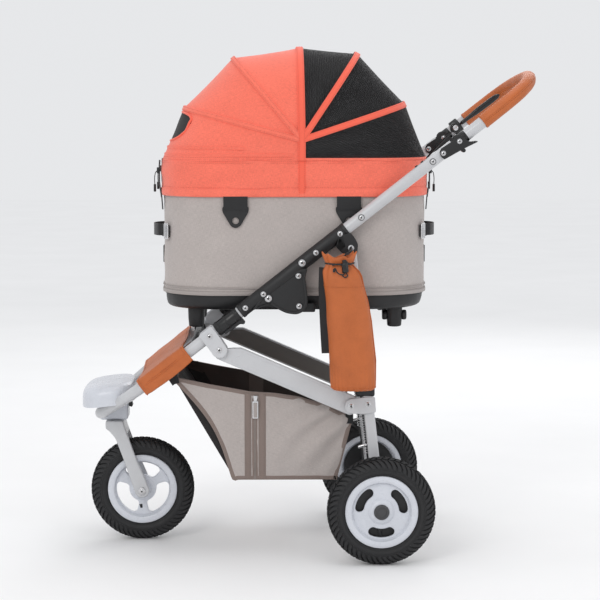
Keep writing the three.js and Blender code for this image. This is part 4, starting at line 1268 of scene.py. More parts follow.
def make_front_cover():
    def section(s, lift=0.0):
        w = taper_width(s)
        e = (s + 0.1185) / 0.0615
        waist = 0.0012 * (1 - e * e)
        side = w + 0.0152 + lift - waist
        drop = 0.004 * (1 - e * e)
        pts = [(side - 0.005, -0.0165 - drop), (side - 0.001, -0.015 - drop), (side + 0.0006, -0.008),
            (side, 0.006), (side - 0.0018, 0.0115), (side - 0.0062, 0.0155)]
        flat = []
        for i in range(31):
            f = -1 + 2 * i / 30
            flat.append((-f * (side - 0.009), 0.0168 + lift - 0.0042 * (1 - f ** 2) ** 2))
        right = [(y, n + (lift if n > 0 else 0)) for y, n in pts]
        left = [(-y, n) for y, n in reversed(right)]
        return [at(s, y, n) for y, n in right + flat + left]

    rows = []
    for i in range(41):
        s = -0.057 - 0.123 * i / 40
        rows.append(section(s))
    seed = vec(11.3, 4.1, 7.7)
    for i, row in enumerate(rows):
        for p in row:
            dent = noise.noise(p * 22 + seed) * 0.0016 + noise.noise(p * 60 + seed) * 0.0005
            p.z += dent
            p.y += dent * 0.6
    skin = ruled("skin", rows)
    outward(skin)
    walled(skin, 0.0022, 0.0)
    coat(soften(skin, 60), "leather")
    pieces = [skin]
    for s0 in (-0.0585, -0.1785):
        pieces.append(coat(sweep("edge", evenly(section(s0, 0.0004), 90), 0.0014), "leather"))
    for s0 in (-0.0625, -0.1745):
        pieces.append(stitches([section(s0, 0.0013)], "leather_thread"))
    for k in (-1, 1):
        line = [at(-0.06 - 0.117 * i / 30, k * (taper_width(-0.06 - 0.117 * i / 30) + 0.0166 - 0.001),
            0.0005) for i in range(31)]
        pieces.append(coat(sweep("welt", curved(line, 60), 0.0011), "leather"))
        pieces.append(stitches([[p + vec(0, k * 0.0004, 0.0038) for p in line]], "leather_thread"))
        lace = []
        for j in range(9):
            s = -0.066 - 0.0125 * j
            w = taper_width(s)
            lace.append([at(s, k * (w + 0.0115), -0.0185), at(s - 0.006, k * (w - 0.004), -0.015),
                at(s - 0.0125, k * (w + 0.0115), -0.0185)])
        pieces += [coat(sweep("lace", curved(one, 10), 0.0009), "leather") for one in lace]
    place(joined("front_leather", pieces), "front_frame", "tan_leather", "front_cover")


class STROLLER_OT_front_cover(bpy.types.Operator):
    """Make the leather cover that wraps the front tubes, with its seams"""

    bl_idname = "stroller.front_cover"
    bl_label = "Leather front cover"

    def execute(self, context):
        make_front_cover()
        return {"FINISHED"}


def tyre_profile(width):
    w = width / 2
    half = [(0.0735, 0.62 * w), (0.0756, 0.8 * w), (0.079, 0.9 * w), (0.084, 0.955 * w), (0.088, 0.975 * w),
        (0.0905, 0.955 * w), (0.0925, 0.9 * w), (0.0965, 0.84 * w), (0.1005, 0.73 * w), (0.1035, 0.59 * w),
        (0.1058, 0.42 * w), (0.107, 0.25 * w), (0.1076, 0.09 * w)]
    return half + [(r, -y) for r, y in reversed(half)]


def tread_block(width):
    """Two rows of slanted blocks and a middle rib piece, wrapped over the shoulder at the axle's +X side."""
    w = width / 2
    turn = 2 * pi / sizes().tread_blocks
    verts, faces = [], []

    def strip(profile, lean, fill, lift):
        base = len(verts)
        for i, (r, y) in enumerate(profile):
            f = i / (len(profile) - 1)
            for side in (-1, 1):
                a = turn * (lean * f + side * fill * 0.5)
                for up in (0, lift):
                    edge = 0.0 if i in (0, len(profile) - 1) else 1.0
                    rr = r - 0.0042 + up * (0.55 + 0.45 * edge)
                    yy = y * (1.0 if up else 0.9)
                    verts.append((rr * cos(a), yy, rr * sin(a)))
        n = len(profile)
        for i in range(n - 1):
            a, b = base + i * 4, base + (i + 1) * 4
            faces.extend([(a + 1, a + 3, b + 3, b + 1), (a, b, b + 2, a + 2), (a, a + 1, b + 1, b),
                (a + 3, a + 2, b + 2, b + 3)])
        faces.append((base, base + 2, base + 3, base + 1))
        e = base + (n - 1) * 4
        faces.append((e, e + 1, e + 3, e + 2))

    shoulder = [(0.0925, 0.99), (0.0985, 0.93), (0.1025, 0.82), (0.1058, 0.67), (0.1082, 0.48)]
    for k in (-1, 1):
        strip([(r, k * y * w) for r, y in shoulder], 1.3, 0.62, 0.0045)
        strip([(0.1098, k * 0.4 * w), (0.1107, k * 0.22 * w), (0.1109, k * 0.05 * w)], -0.7, 0.66, 0.0043)
    obj = new_object("blocks", verts, faces)
    outward(obj)
    return obj


def make_wheels():
    specs = [("front", "front_wheel", FRONT_AXLE, 0.0, -1, 0.045, (-0.006, 0.008), 0.026,
        (0.029, 0.0565, (90, 210, 330), 46), "front_rim", "front_tyre")]
    for side, k in SIDES:
        specs.append((f"rear_{side}", f"rear_wheel_{side}", REAR_AXLE, k * TRACK_Y, k, 0.048, (0.004, 0.011),
            0.017, (0.036, 0.054, (29, 147, 270), 34), f"rear_rim_{side}", f"rear_tyre_{side}"))
    for name, body, (cx, cz), cy, out, width, web, hub, slots, rim_node, tyre_node in specs:
        centre = (cx, cy, cz)
        rubber = coat(revolved("tyre", tyre_profile(width), centre, 144), "rubber")
        blocks = around("blocks", tread_block(width), sizes().tread_blocks, centre, "rubber")
        soften(blocks, 30)
        pieces = [rubber, blocks]
        for k in (-1, 1):
            for r, f in ((0.0785, 0.905), (0.0875, 0.99)):
                ring = [(r - 0.0007, k * f * width / 2 - k * 0.0012),
                    (r - 0.0004, k * f * width / 2 + k * 0.0004),
                    (r + 0.0004, k * f * width / 2 + k * 0.0004),
                    (r + 0.0007, k * f * width / 2 - k * 0.0012)]
                pieces.append(coat(revolved("bead", ring, centre, 96), "rubber"))
        place(joined(f"tyre_{name}", pieces), body, "tyre_rubber", tyre_node)

        w = 0.78 * width / 2
        o = out

        def turned(pairs, o=o, centre=centre, segments=120):
            return revolved("rim", [(r, o * v) for r, v in pairs], centre, segments)

        lip = w + 0.0012
        barrel = [(0.0575, web[0]), (0.059, web[0] - 0.004), (0.0625, -w + 0.002), (0.065, -w), (0.0735, -w),
            (0.0745, -w + 0.0015), (0.0745, w - 0.0015), (0.0738, lip), (0.0715, lip + 0.0012),
            (0.064, lip + 0.0008), (0.0612, lip - 0.0006), (0.06, w - 0.0035), (0.059, web[1] + 0.002),
            (0.057, web[1] - 0.0005)]
        parts = [coat(turned(barrel), "white")]
        r0, r1, centres, half = slots
        rim_edge = arc(cx, cz, 0.059, 0, 360, 96)[:-1]
        holes = [bean(cx, cz, r0, r1, c, half, 0.0085 if name == "front" else 0.0088) for c in centres]
        bore = arc(cx, cz, 0.01, 0, 360, 32)[:-1]
        a, b = sorted((cy + o * web[0], cy + o * web[1]))
        parts.append(coat(plate("web", [rim_edge, *holes, bore], a, b, 0.0022, 4), "white"))
        if name == "front":
            hub_shape = [(0.0056, -hub + 0.002), (0.014, -hub), (0.0165, -hub + 0.002), (0.019, -0.01),
                (0.026, -0.006), (0.0265, 0.008), (0.0205, 0.0115), (0.0175, hub - 0.003), (0.015, hub),
                (0.0056, hub)]
        else:
            hub_shape = [(0.0063, -hub), (0.017, -hub), (0.019, -hub + 0.002), (0.022, 0.002), (0.026, 0.004),
                (0.0275, 0.0108), (0.0245, 0.0132), (0.021, hub - 0.0008), (0.019, hub), (0.0063, hub)]
        parts.append(coat(turned(hub_shape), "white"))
        if name != "front":
            # A black disc behind the rear web is painted shade: it stands in for the shadowed inside of the
            # wheel seen through the slots.
            parts.append(coat(turned([(0.012, -0.003), (0.0565, -0.003), (0.0565, -0.001), (0.012, -0.001)]),
                "black"))
            cap_ring = around("studs", coat(rod("stud", (0.0235, o * 0.0118, 0), (0.0235, o * 0.0138, 0),
                0.0016, 0.0004, 12), "white"), 3, centre, "white")
            parts.append(cap_ring)
        parts.append(coat(rod("valve", (cx, cy + o * 0.002, cz - 0.0575),
            (cx - 0.004, cy + o * 0.006, cz - 0.0385), 0.0028), "black"))
        parts.append(coat(rod("valve_cap", (cx - 0.003, cy + o * 0.0052, cz - 0.043),
            (cx - 0.0045, cy + o * 0.0066, cz - 0.0345), 0.0036), "black"))
        place(joined(f"rim_{name}", parts), body, "white_plastic", rim_node)
        if name != "front":
            cap = turned([(0.0066, 0.0172), (0.0152, 0.0172), (0.0158, 0.0185), (0.0155, 0.0205),
                (0.0135, 0.0222), (0.0105, 0.0226), (0.0098, 0.0214), (0.006, 0.0212), (0.0002, 0.0228),
                (0.0002, 0.02), (0.0064, 0.0198)], segments=64)
            place(joined(f"cap_{name}", [coat(cap, "hub_grey")]), body, "black_plastic",
                f"hub_cap_{name.split('_')[1]}")


class STROLLER_OT_wheels(bpy.types.Operator):
    """Make the three wheels: tyres with tread blocks, spoked rims, hubs and caps"""

    bl_idname = "stroller.wheels"
    bl_label = "Wheels"

    def execute(self, context):
        make_wheels()
        return {"FINISHED"}


def make_fork():
    blade = [(-0.432, 0.2623), (-0.394, 0.2623), (-0.391, 0.248), (-0.383, 0.226), (-0.366, 0.178),
        (-0.347, 0.134)] + arc(*FRONT_AXLE, 0.0155, 40, -170, 20) + [(-0.378, 0.13), (-0.393, 0.175),
        (-0.411, 0.224), (-0.424, 0.24), (-0.432, 0.245)]
    crown = [(-0.432, 0.2623), (-0.394, 0.2623), (-0.391, 0.248), (-0.385, 0.232), (-0.415, 0.232),
        (-0.424, 0.24), (-0.432, 0.245)]
    pieces = []
    for k in (-1, 1):
        a, b = sorted((k * 0.0285, k * 0.0372))
        pieces.append(coat(plate("blade", [rounded(blade, 0.006, 5)], a, b, 0.0036, 5), "paint"))
        a, b = sorted((k * 0.0215, k * 0.029))
        pieces.append(coat(rod("washer", (FRONT_AXLE[0], a, 0.111), (FRONT_AXLE[0], b, 0.111), 0.0085),
            "steel"))
        pieces.append(coat(rod("nut", (FRONT_AXLE[0], k * 0.0365, 0.111), (FRONT_AXLE[0], k * 0.0415, 0.111),
            0.0088, 0.001, 6), "steel"))
        pieces.append(bolts("end", [(FRONT_AXLE[0], k * 0.0415, 0.111)], k, 0.0055, 0.0022))
    pieces.append(coat(plate("crown", [rounded(crown, 0.005, 5)], -0.037, 0.037, 0.004, 5), "paint"))
    pieces.append(coat(rod("stem", (-0.413, 0, 0.25), (-0.413, 0, 0.3), 0.011, sides=40), "steel"))
    pieces.append(coat(rod("axle", (FRONT_AXLE[0], -0.043, 0.111), (FRONT_AXLE[0], 0.043, 0.111), 0.005),
        "steel"))
    place(joined("front_fork", pieces), "caster", "frame_paint", "fork")


class STROLLER_OT_fork(bpy.types.Operator):
    """Make the front fork with its axle and nuts"""

    bl_idname = "stroller.fork"
    bl_label = "Front fork"

    def execute(self, context):
        make_fork()
        return {"FINISHED"}


# Bends of the handle: distance along the tube, height above it and half width.
BEND = ((0.651, 0, 0.178), (0.707, 0, 0.178), (0.762, 0.0002, 0.176), (0.798, 0.0005, 0.163),
    (0.825, 0.001, 0.13), (0.842, 0.0015, 0.075), (0.8519, 0.0018, 0.0))


def bow_path(first, count):
    one = BEND[first:]
    left = [at(s, -y, n) for s, n, y in one]
    return curved(left + [vec(p.x, -p.y, p.z) for p in reversed(left[:-1])], count)


def make_handle():
    circle = [(cos(2 * pi * i / 40), sin(2 * pi * i / 40)) for i in range(40)]
    bow = coat(sweep("bow", bow_path(0, 200), [(TUBE_R * a, TUBE_R * b) for a, b in circle]), "paint")
    knuckles = []
    for k in (-1, 1):
        y = k * FRAME_Y
        knuckles.append(coat(rod("collar", at(0.648, y), at(0.664, y), 0.0126, 0.001, 40), "gloss_black"))
        x, z = on_tube(0.6444)
        knuckles.append(coat(rod("pivot", (x, y - 0.0124, z), (x, y + 0.0124, z), 0.0062), "steel"))
    place(joined("handle_tube", [bow] + knuckles), "upper_handle", "frame_paint", "handle_bow")

    path = bow_path(1, 220)
    ring = [(0.0148 * a, 0.0148 * b) for a, b in circle]
    grip = sweep("grip", path, ring, scale=lambda f: 1.0 - 0.045 * max(0, 1 - min(f, 1 - f) / 0.006)
        + 0.006 * sin(f * 61) * sin(f * 23))
    coat(grip, "leather")
    pieces = [grip]
    tangents = [(path[min(i + 1, 219)] - path[max(i - 1, 0)]).normalized() for i in range(220)]
    inward = []
    for p, t in zip(path, tangents):
        plane = at(0, 0, 1) - at(0, 0, 0)
        side = t.cross(plane).normalized()
        inward.append(side)
    for shift in (-0.0016, 0.0016):
        line = [p + s * 0.0147 + (at(0, 0, 1) - at(0, 0, 0)) * shift for p, s in zip(path, inward)]
        pieces.append(stitches([line[2:-2]], "leather_thread", 0.0045))
    groove = [p + s * 0.0146 for p, s in zip(path, inward)]
    pieces.append(coat(sweep("welt", groove[1:-1], 0.001), "leather"))
    for i in (1, -2):
        t = tangents[i]
        pieces.append(coat(rod("cuff", path[i] - t * 0.0035, path[i] + t * 0.0035, 0.0152, 0.0014, 40),
            "leather"))
    place(joined("grip_leather", pieces), "upper_handle", "tan_leather", "handle_grip")

    y = FRAME_Y
    ring = coat(rod("clamp", at(0.672, y), at(0.692, y), 0.017, 0.002, 48), "black")
    boss = coat(rod("boss", at(0.677, 0.141, 0.002), at(0.677, 0.164, 0.002), 0.011, 0.0016, 40), "black")
    chrome = coat(rod("centre", at(0.677, 0.1392, 0.002), at(0.677, 0.142, 0.002), 0.0062, 0.0012, 32),
        "steel")
    outer = coat(rod("stop", at(0.677, 0.1945, 0.0), at(0.677, 0.1965, 0.0), 0.0085, 0.0008, 32), "steel")
    screw = bolts("screw", [at(0.682, y, -0.0165) + vec(0, -0.0005, 0)], -1, 0.003, 0.0015)
    place(joined("brake_mount", [ring, boss, chrome, outer, screw]), "upper_handle", "black_plastic",
        "brake_clamp")

    rows = []
    lever = [(0.6905, 0.144, 9, 5), (0.712, 0.143, 9, 5), (0.74, 0.139, 13, 6), (0.775, 0.13, 13, 6),
        (0.796, 0.121, 10, 5)]
    for i in range(33):
        f = i / 32 * 4
        j = min(3, int(f))
        t = f - j
        s, y, h, d = (a + (b - a) * t for a, b in zip(lever[j], lever[j + 1]))
        ease = min(1.0, sqrt(max(0.02, (32 - i) / 3.0))) * min(1.0, sqrt(max(0.05, (i + 0.4) / 2.0)))
        row = []
        for n in range(28):
            a = 2 * pi * n / 28
            c, e = cos(a), sin(a)
            row.append(at(s, y + d / 1000 * ease * copysign(abs(c) ** 0.7, c),
                0.002 + h / 2000 * ease * copysign(abs(e) ** 0.7, e)))
        rows.append(row)
    blade = ruled("lever", rows, closed=True, capped=True)
    outward(blade)
    coat(soften(blade, 60), "gloss_black")
    place(joined("brake_handle", [blade]), "lever", "black_plastic", "brake_lever")


class STROLLER_OT_handle(bpy.types.Operator):
    """Make the handle bow, its leather grip and the brake lever"""

    bl_idname = "stroller.handle"
    bl_label = "Handle and brake"

    def execute(self, context):
        make_handle()
        return {"FINISHED"}


def wrinkle(p, scale, depth, seed=0.0):
    return noise.noise(vec(p[0] * scale + seed, p[1] * scale - seed, p[2] * scale + 2 * seed)) * depth


# ---------- basket ----------
# Upper edge, front edge (scalloped) and outline of the basket's side panels, in the side plane.
BASKET_TOP = ((-0.285, 0.373), (-0.205, 0.356), (-0.122, 0.341), (-0.07, 0.338), (-0.02, 0.33), (0.04, 0.312),
    (0.089, 0.284))
BASKET_Y = 0.156


def basket_top(x):
    for (x0, z0), (x1, z1) in zip(BASKET_TOP, BASKET_TOP[1:]):
        if x <= x1:
            return z0 + (z1 - z0) * max(0.0, x - x0) / (x1 - x0)
    return BASKET_TOP[-1][1]


def basket_front(z):
    """Front edge of the whole basket at height z."""
    f = (0.373 - z) / (0.373 - 0.156)
    return -0.285 + 0.127 * f


def scallop(z):
    """Front edge of the cloth side panel, which curves in from the straight front edge."""
    f = (0.373 - z) / (0.373 - 0.156)
    return basket_front(z) + 0.024 * sin(pi * min(1, max(0, f)) ** 0.9) ** 1.2


def basket_rear(z):
    return 0.056 + (0.089 - 0.056) * min(1.0, max(0.0, (z - 0.156) / 0.128))


def make_basket():
    pieces = []
    up_n, across_n = 34, 74

    def side_point(k, x, z, out=0.0):
        f = (z - 0.156) / 0.2
        belly = 0.004 * sin(pi * min(1, max(0, f)))
        folds = wrinkle((x + 0.9 * z, 0, (z - x) * 0.25), 24, 0.0036, 3.3 + k)
        folds += 0.0072 * sin((x * 0.62 - z * 0.8) * 128 + 1.3 * sin(z * 30) + 2.0 * k) * max(0.0,
            min(1, (x + 0.08) / 0.1)) * max(0, sin(pi * min(1, max(0, f))))
        edge = min(1.0, max(0.0, (z - 0.16) / 0.02)) * min(1.0, max(0.0, (basket_rear(z) - x) / 0.02))
        return Vector((x, k * (BASKET_Y - 0.0035 + (belly + folds) * edge * 0.8 + out - 0.004), z))

    for k in (-1, 1):
        rows = []
        for i in range(up_n + 1):
            v = i / up_n
            row = []
            for j in range(across_n + 1):
                u = j / across_n
                zl = 0.158
                x_high = -0.283 + (0.089 + 0.283) * u
                top = basket_top(x_high)
                z = zl + (top - zl) * v
                left, right = scallop(z), basket_rear(z)
                x = left + (right - left) * u if v < 0.999 else x_high
                if u > 0.02:
                    z = min(z, basket_top(x))
                row.append(side_point(k, x, z))
            rows.append(row)
        skin = ruled("side", rows)
        walled(skin, 0.0016, 0.0)
        pieces.append(coat(soften(skin, 60), "greige"))
        lining = ruled("lining", [[p - vec(0, k * 0.0022, 0) for p in row] for row in rows])
        pieces.append(coat(soften(lining, 60), "lining"))

        def strip(path, wide, name, lift=0.0014, k=k):
            section = [(-wide / 2, -lift), (-wide / 2, lift * 0.6), (-wide / 2 + 0.0008, lift),
                (wide / 2 - 0.0008, lift), (wide / 2, lift * 0.6), (wide / 2, -lift)]
            return coat(sweep("strip", path, section, up=(0, k, 0)), name)

        top_line = [rows[-1][j] + vec(0, 0, -0.003) for j in range(across_n + 1)]
        front_line = [rows[i][0] + vec(0.003, 0, 0) for i in range(up_n + 1)]
        rear_line = [rows[i][-1] + vec(-0.003, 0, 0) for i in range(up_n + 1)]
        low_line = [rows[0][j] + vec(0, 0, 0.003) for j in range(across_n + 1)]
        corner = evenly(list(reversed(front_line)) + low_line[3:], 130)
        for line in (top_line, corner, rear_line):
            pieces.append(strip(evenly(line, 120), 0.0085, "taupe"))
            pieces.append(stitches([[p + vec(0, k * 0.0018, 0) for p in evenly(line, 120)]], "grey_thread"))
        zip_x = -0.1115
        z_top = basket_top(zip_x)
        for dx, wide in ((-0.0155, 0.0135), (0.014, 0.015)):
            line = [side_point(k, zip_x + dx, 0.16 + (z_top - 0.162) * i / 30, 0.0009) for i in range(31)]
            pieces.append(strip(line, wide, "taupe", 0.0012))
            for edge in (-1, 1):
                pieces.append(stitches([[p + vec(edge * (wide / 2 - 0.0022), k * 0.0015, 0) for p in line]],
                    "grey_thread"))
        line = [side_point(k, zip_x - 0.001, 0.16 + (z_top - 0.172) * i / 60, 0.0004) for i in range(61)]
        pieces.append(strip(line, 0.012, "taupe", 0.0006))
        teeth = zip_teeth("teeth", [[p + vec(0, k * 0.0008, 0) for p in line]], "grey_thread", 0.0046)
        pieces.append(teeth)
        top = side_point(k, zip_x, z_top - 0.014, 0.004)
        a, b = sorted((top.y - 0.0022, top.y + 0.0022))
        pieces.append(coat(plate("slider", [rounded([(zip_x - 0.0045, z_top - 0.006),
            (zip_x - 0.0032, z_top - 0.019), (zip_x + 0.0032, z_top - 0.019),
            (zip_x + 0.0045, z_top - 0.006)], 0.002, 4)], a, b, 0.0008, 3), "steel"))
        frame_out = rounded([(zip_x - 0.0062, z_top - 0.017), (zip_x - 0.0062, z_top - 0.054),
            (zip_x + 0.0062, z_top - 0.054), (zip_x + 0.0062, z_top - 0.017)], 0.002, 4)
        a, b = sorted((k * (abs(top.y) + 0.0016), k * (abs(top.y) + 0.0036)))
        pieces.append(coat(plate("pull", [frame_out], a, b, 0.0007, 3), "steel"))
        inner = rounded([(zip_x - 0.004, z_top - 0.0205), (zip_x - 0.004, z_top - 0.0515),
            (zip_x + 0.004, z_top - 0.0515), (zip_x + 0.004, z_top - 0.0205)], 0.0012, 3)
        a, b = sorted((k * (abs(top.y) + 0.0034), k * (abs(top.y) + 0.004)))
        pieces.append(coat(plate("pull_face", [inner], a, b, 0.0002, 1), "greige_hem"))
        # loops that hang the panel from the rail and the front tube
        for x, tilt in ((-0.276, 0.01), (0.0835, 0.0)):
            z = basket_top(x)
            y = k * (BASKET_Y - 0.004)
            loop = [vec(x, y, z - 0.012), vec(x - tilt * 0.4, y, z + 0.004), vec(x - tilt, y, z + 0.012),
                vec(x - tilt, y - k * 0.004, z + 0.004), vec(x, y - k * 0.004, z - 0.012)]
            pieces.append(coat(sweep("loop", curved(loop, 24), rect(0.008, 0.0008), up=(0, k, 0)), "webbing"))
        # A wide strip inside each panel behind the zip, in taupe darkened to 0.45: painted shade for the zip
        # tape seen in shadow from inside.
        line = [side_point(k, zip_x, 0.162 + (z_top - 0.163) * i / 30, -0.0034) for i in range(31)]
        pieces.append(strip(line, 0.032, "taupe_dark", 0.0006))

    y = BASKET_Y - 0.009
    floor_rows = []
    for i in range(25):
        x = -0.158 + 0.214 * i / 24
        floor_rows.append([vec(x, -y + 2 * y * j / 40, 0.1575 - 0.0012 * sin(pi * j / 40) * sin(pi * i / 24))
            for j in range(41)])
    floor = ruled("floor_panel", floor_rows)
    walled(floor, 0.002, 0.0)
    pieces.append(coat(floor, "greige"))
    front_rows = []
    for i in range(41):
        z = 0.373 - 0.217 * i / 40
        f = i / 40
        row = []
        for j in range(61):
            s = -1 + 2 * j / 60
            bow = 0.01 * sin(pi * f) * (1 - s * s)
            x = basket_front(z) + 0.004 + 0.004 * abs(s) ** 8 + bow
            dip = 0.018 * (1 - s * s) * (1 - f) ** 3
            row.append(Vector((x + wrinkle((x, s, z), 18, 0.003), s * (BASKET_Y - 0.0085), z - dip)))
        front_rows.append(row)
    front = ruled("front_panel", front_rows)
    walled(front, 0.001, 0.0)
    pieces.append(coat(soften(front, 60), "dense_mesh"))
    for k in (-1, 1):
        gusset = ruled("gusset", [[vec(basket_front(z) + 0.004 + 0.036 * j / 8, k * (BASKET_Y - 0.0095), z)
            for j in range(9)] for z in [0.366 - 0.2075 * i / 30 for i in range(31)]])
        walled(gusset, 0.001, 0.0)
        pieces.append(coat(gusset, "dense_mesh"))
    section = rect(0.0045, 0.0014)
    pieces.append(coat(sweep("front_hem", [p + vec(0, 0, 0.001) for p in front_rows[0]], section,
        up=(1, 0, 0.5)), "taupe"))
    pieces.append(coat(sweep("front_cord", [p + vec(-0.001, 0, 0.004) for p in front_rows[0]], 0.0032),
        "webbing"))
    rear_rows = []
    for i in range(21):
        z = 0.157 + 0.127 * i / 20
        row = []
        for j in range(41):
            s = -1 + 2 * j / 40
            sag = 0.01 * (1 - s * s) * (i / 20) ** 2
            row.append(Vector((basket_rear(z) - 0.003 + wrinkle((0, s, z), 9, 0.003), s * (BASKET_Y - 0.009),
                z - sag)))
        rear_rows.append(row)
    rear = ruled("rear_panel", rear_rows)
    walled(rear, 0.0016, 0.0)
    pieces.append(coat(soften(rear, 60), "greige"))
    pieces.append(coat(sweep("rear_hem", rear_rows[-1], section, up=(1, 0, 0.2)), "taupe"))
    obj = joined("basket_cloth", pieces)
    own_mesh(place(obj, "side_rails", "grey_fabric", "basket"))


class STROLLER_OT_basket(bpy.types.Operator):
    """Make the cloth basket: side panels, mesh front, floor, bindings and side zips"""

    bl_idname = "stroller.basket"
    bl_label = "Basket"

    def execute(self, context):
        make_basket()
        return {"FINISHED"}


# ---------- cot ----------
def cot_loop(z, grow=0.0, corner=0.0, count=240):
    return [p for p in evenly([*stadium(COT_X[0] - grow, COT_X[1] + grow, COT_HALF + grow,
        COT_CORNER + grow + corner, z), stadium(COT_X[0] - grow, COT_X[1] + grow, COT_HALF + grow,
        COT_CORNER + grow + corner, z)[0]], count, True)]


def ring_skin(name, levels, count=240):
    """A closed skin round the cot; levels are (z, grow, wrinkle depth)."""
    rows = []
    for z, grow, depth in levels:
        base = cot_loop(z, grow, count=count)
        row = []
        for i, p in enumerate(base):
            a, b = base[i - 1], base[(i + 1) % count]
            out = vec(b.y - a.y, a.x - b.x, 0).normalized()
            row.append(p + out * wrinkle((p.x, p.y, z * 2.4), 16, depth, 5.0))
        rows.append(row + [row[0]])
    return ruled(name, rows)


def ring_strip(name, z, grow, width, thick, material, count=240):
    path = cot_loop(z, grow, count=count)
    t = thick / 2
    section = [(-t, -width / 2 + t), (-t * 0.6, -width / 2), (t * 0.6, -width / 2), (t, -width / 2 + t),
        (t, width / 2 - t), (t * 0.6, width / 2), (-t * 0.6, width / 2), (-t, width / 2 - t)]
    return coat(sweep(name, path, section, closed=True, up=(0, 0, 1)), material)


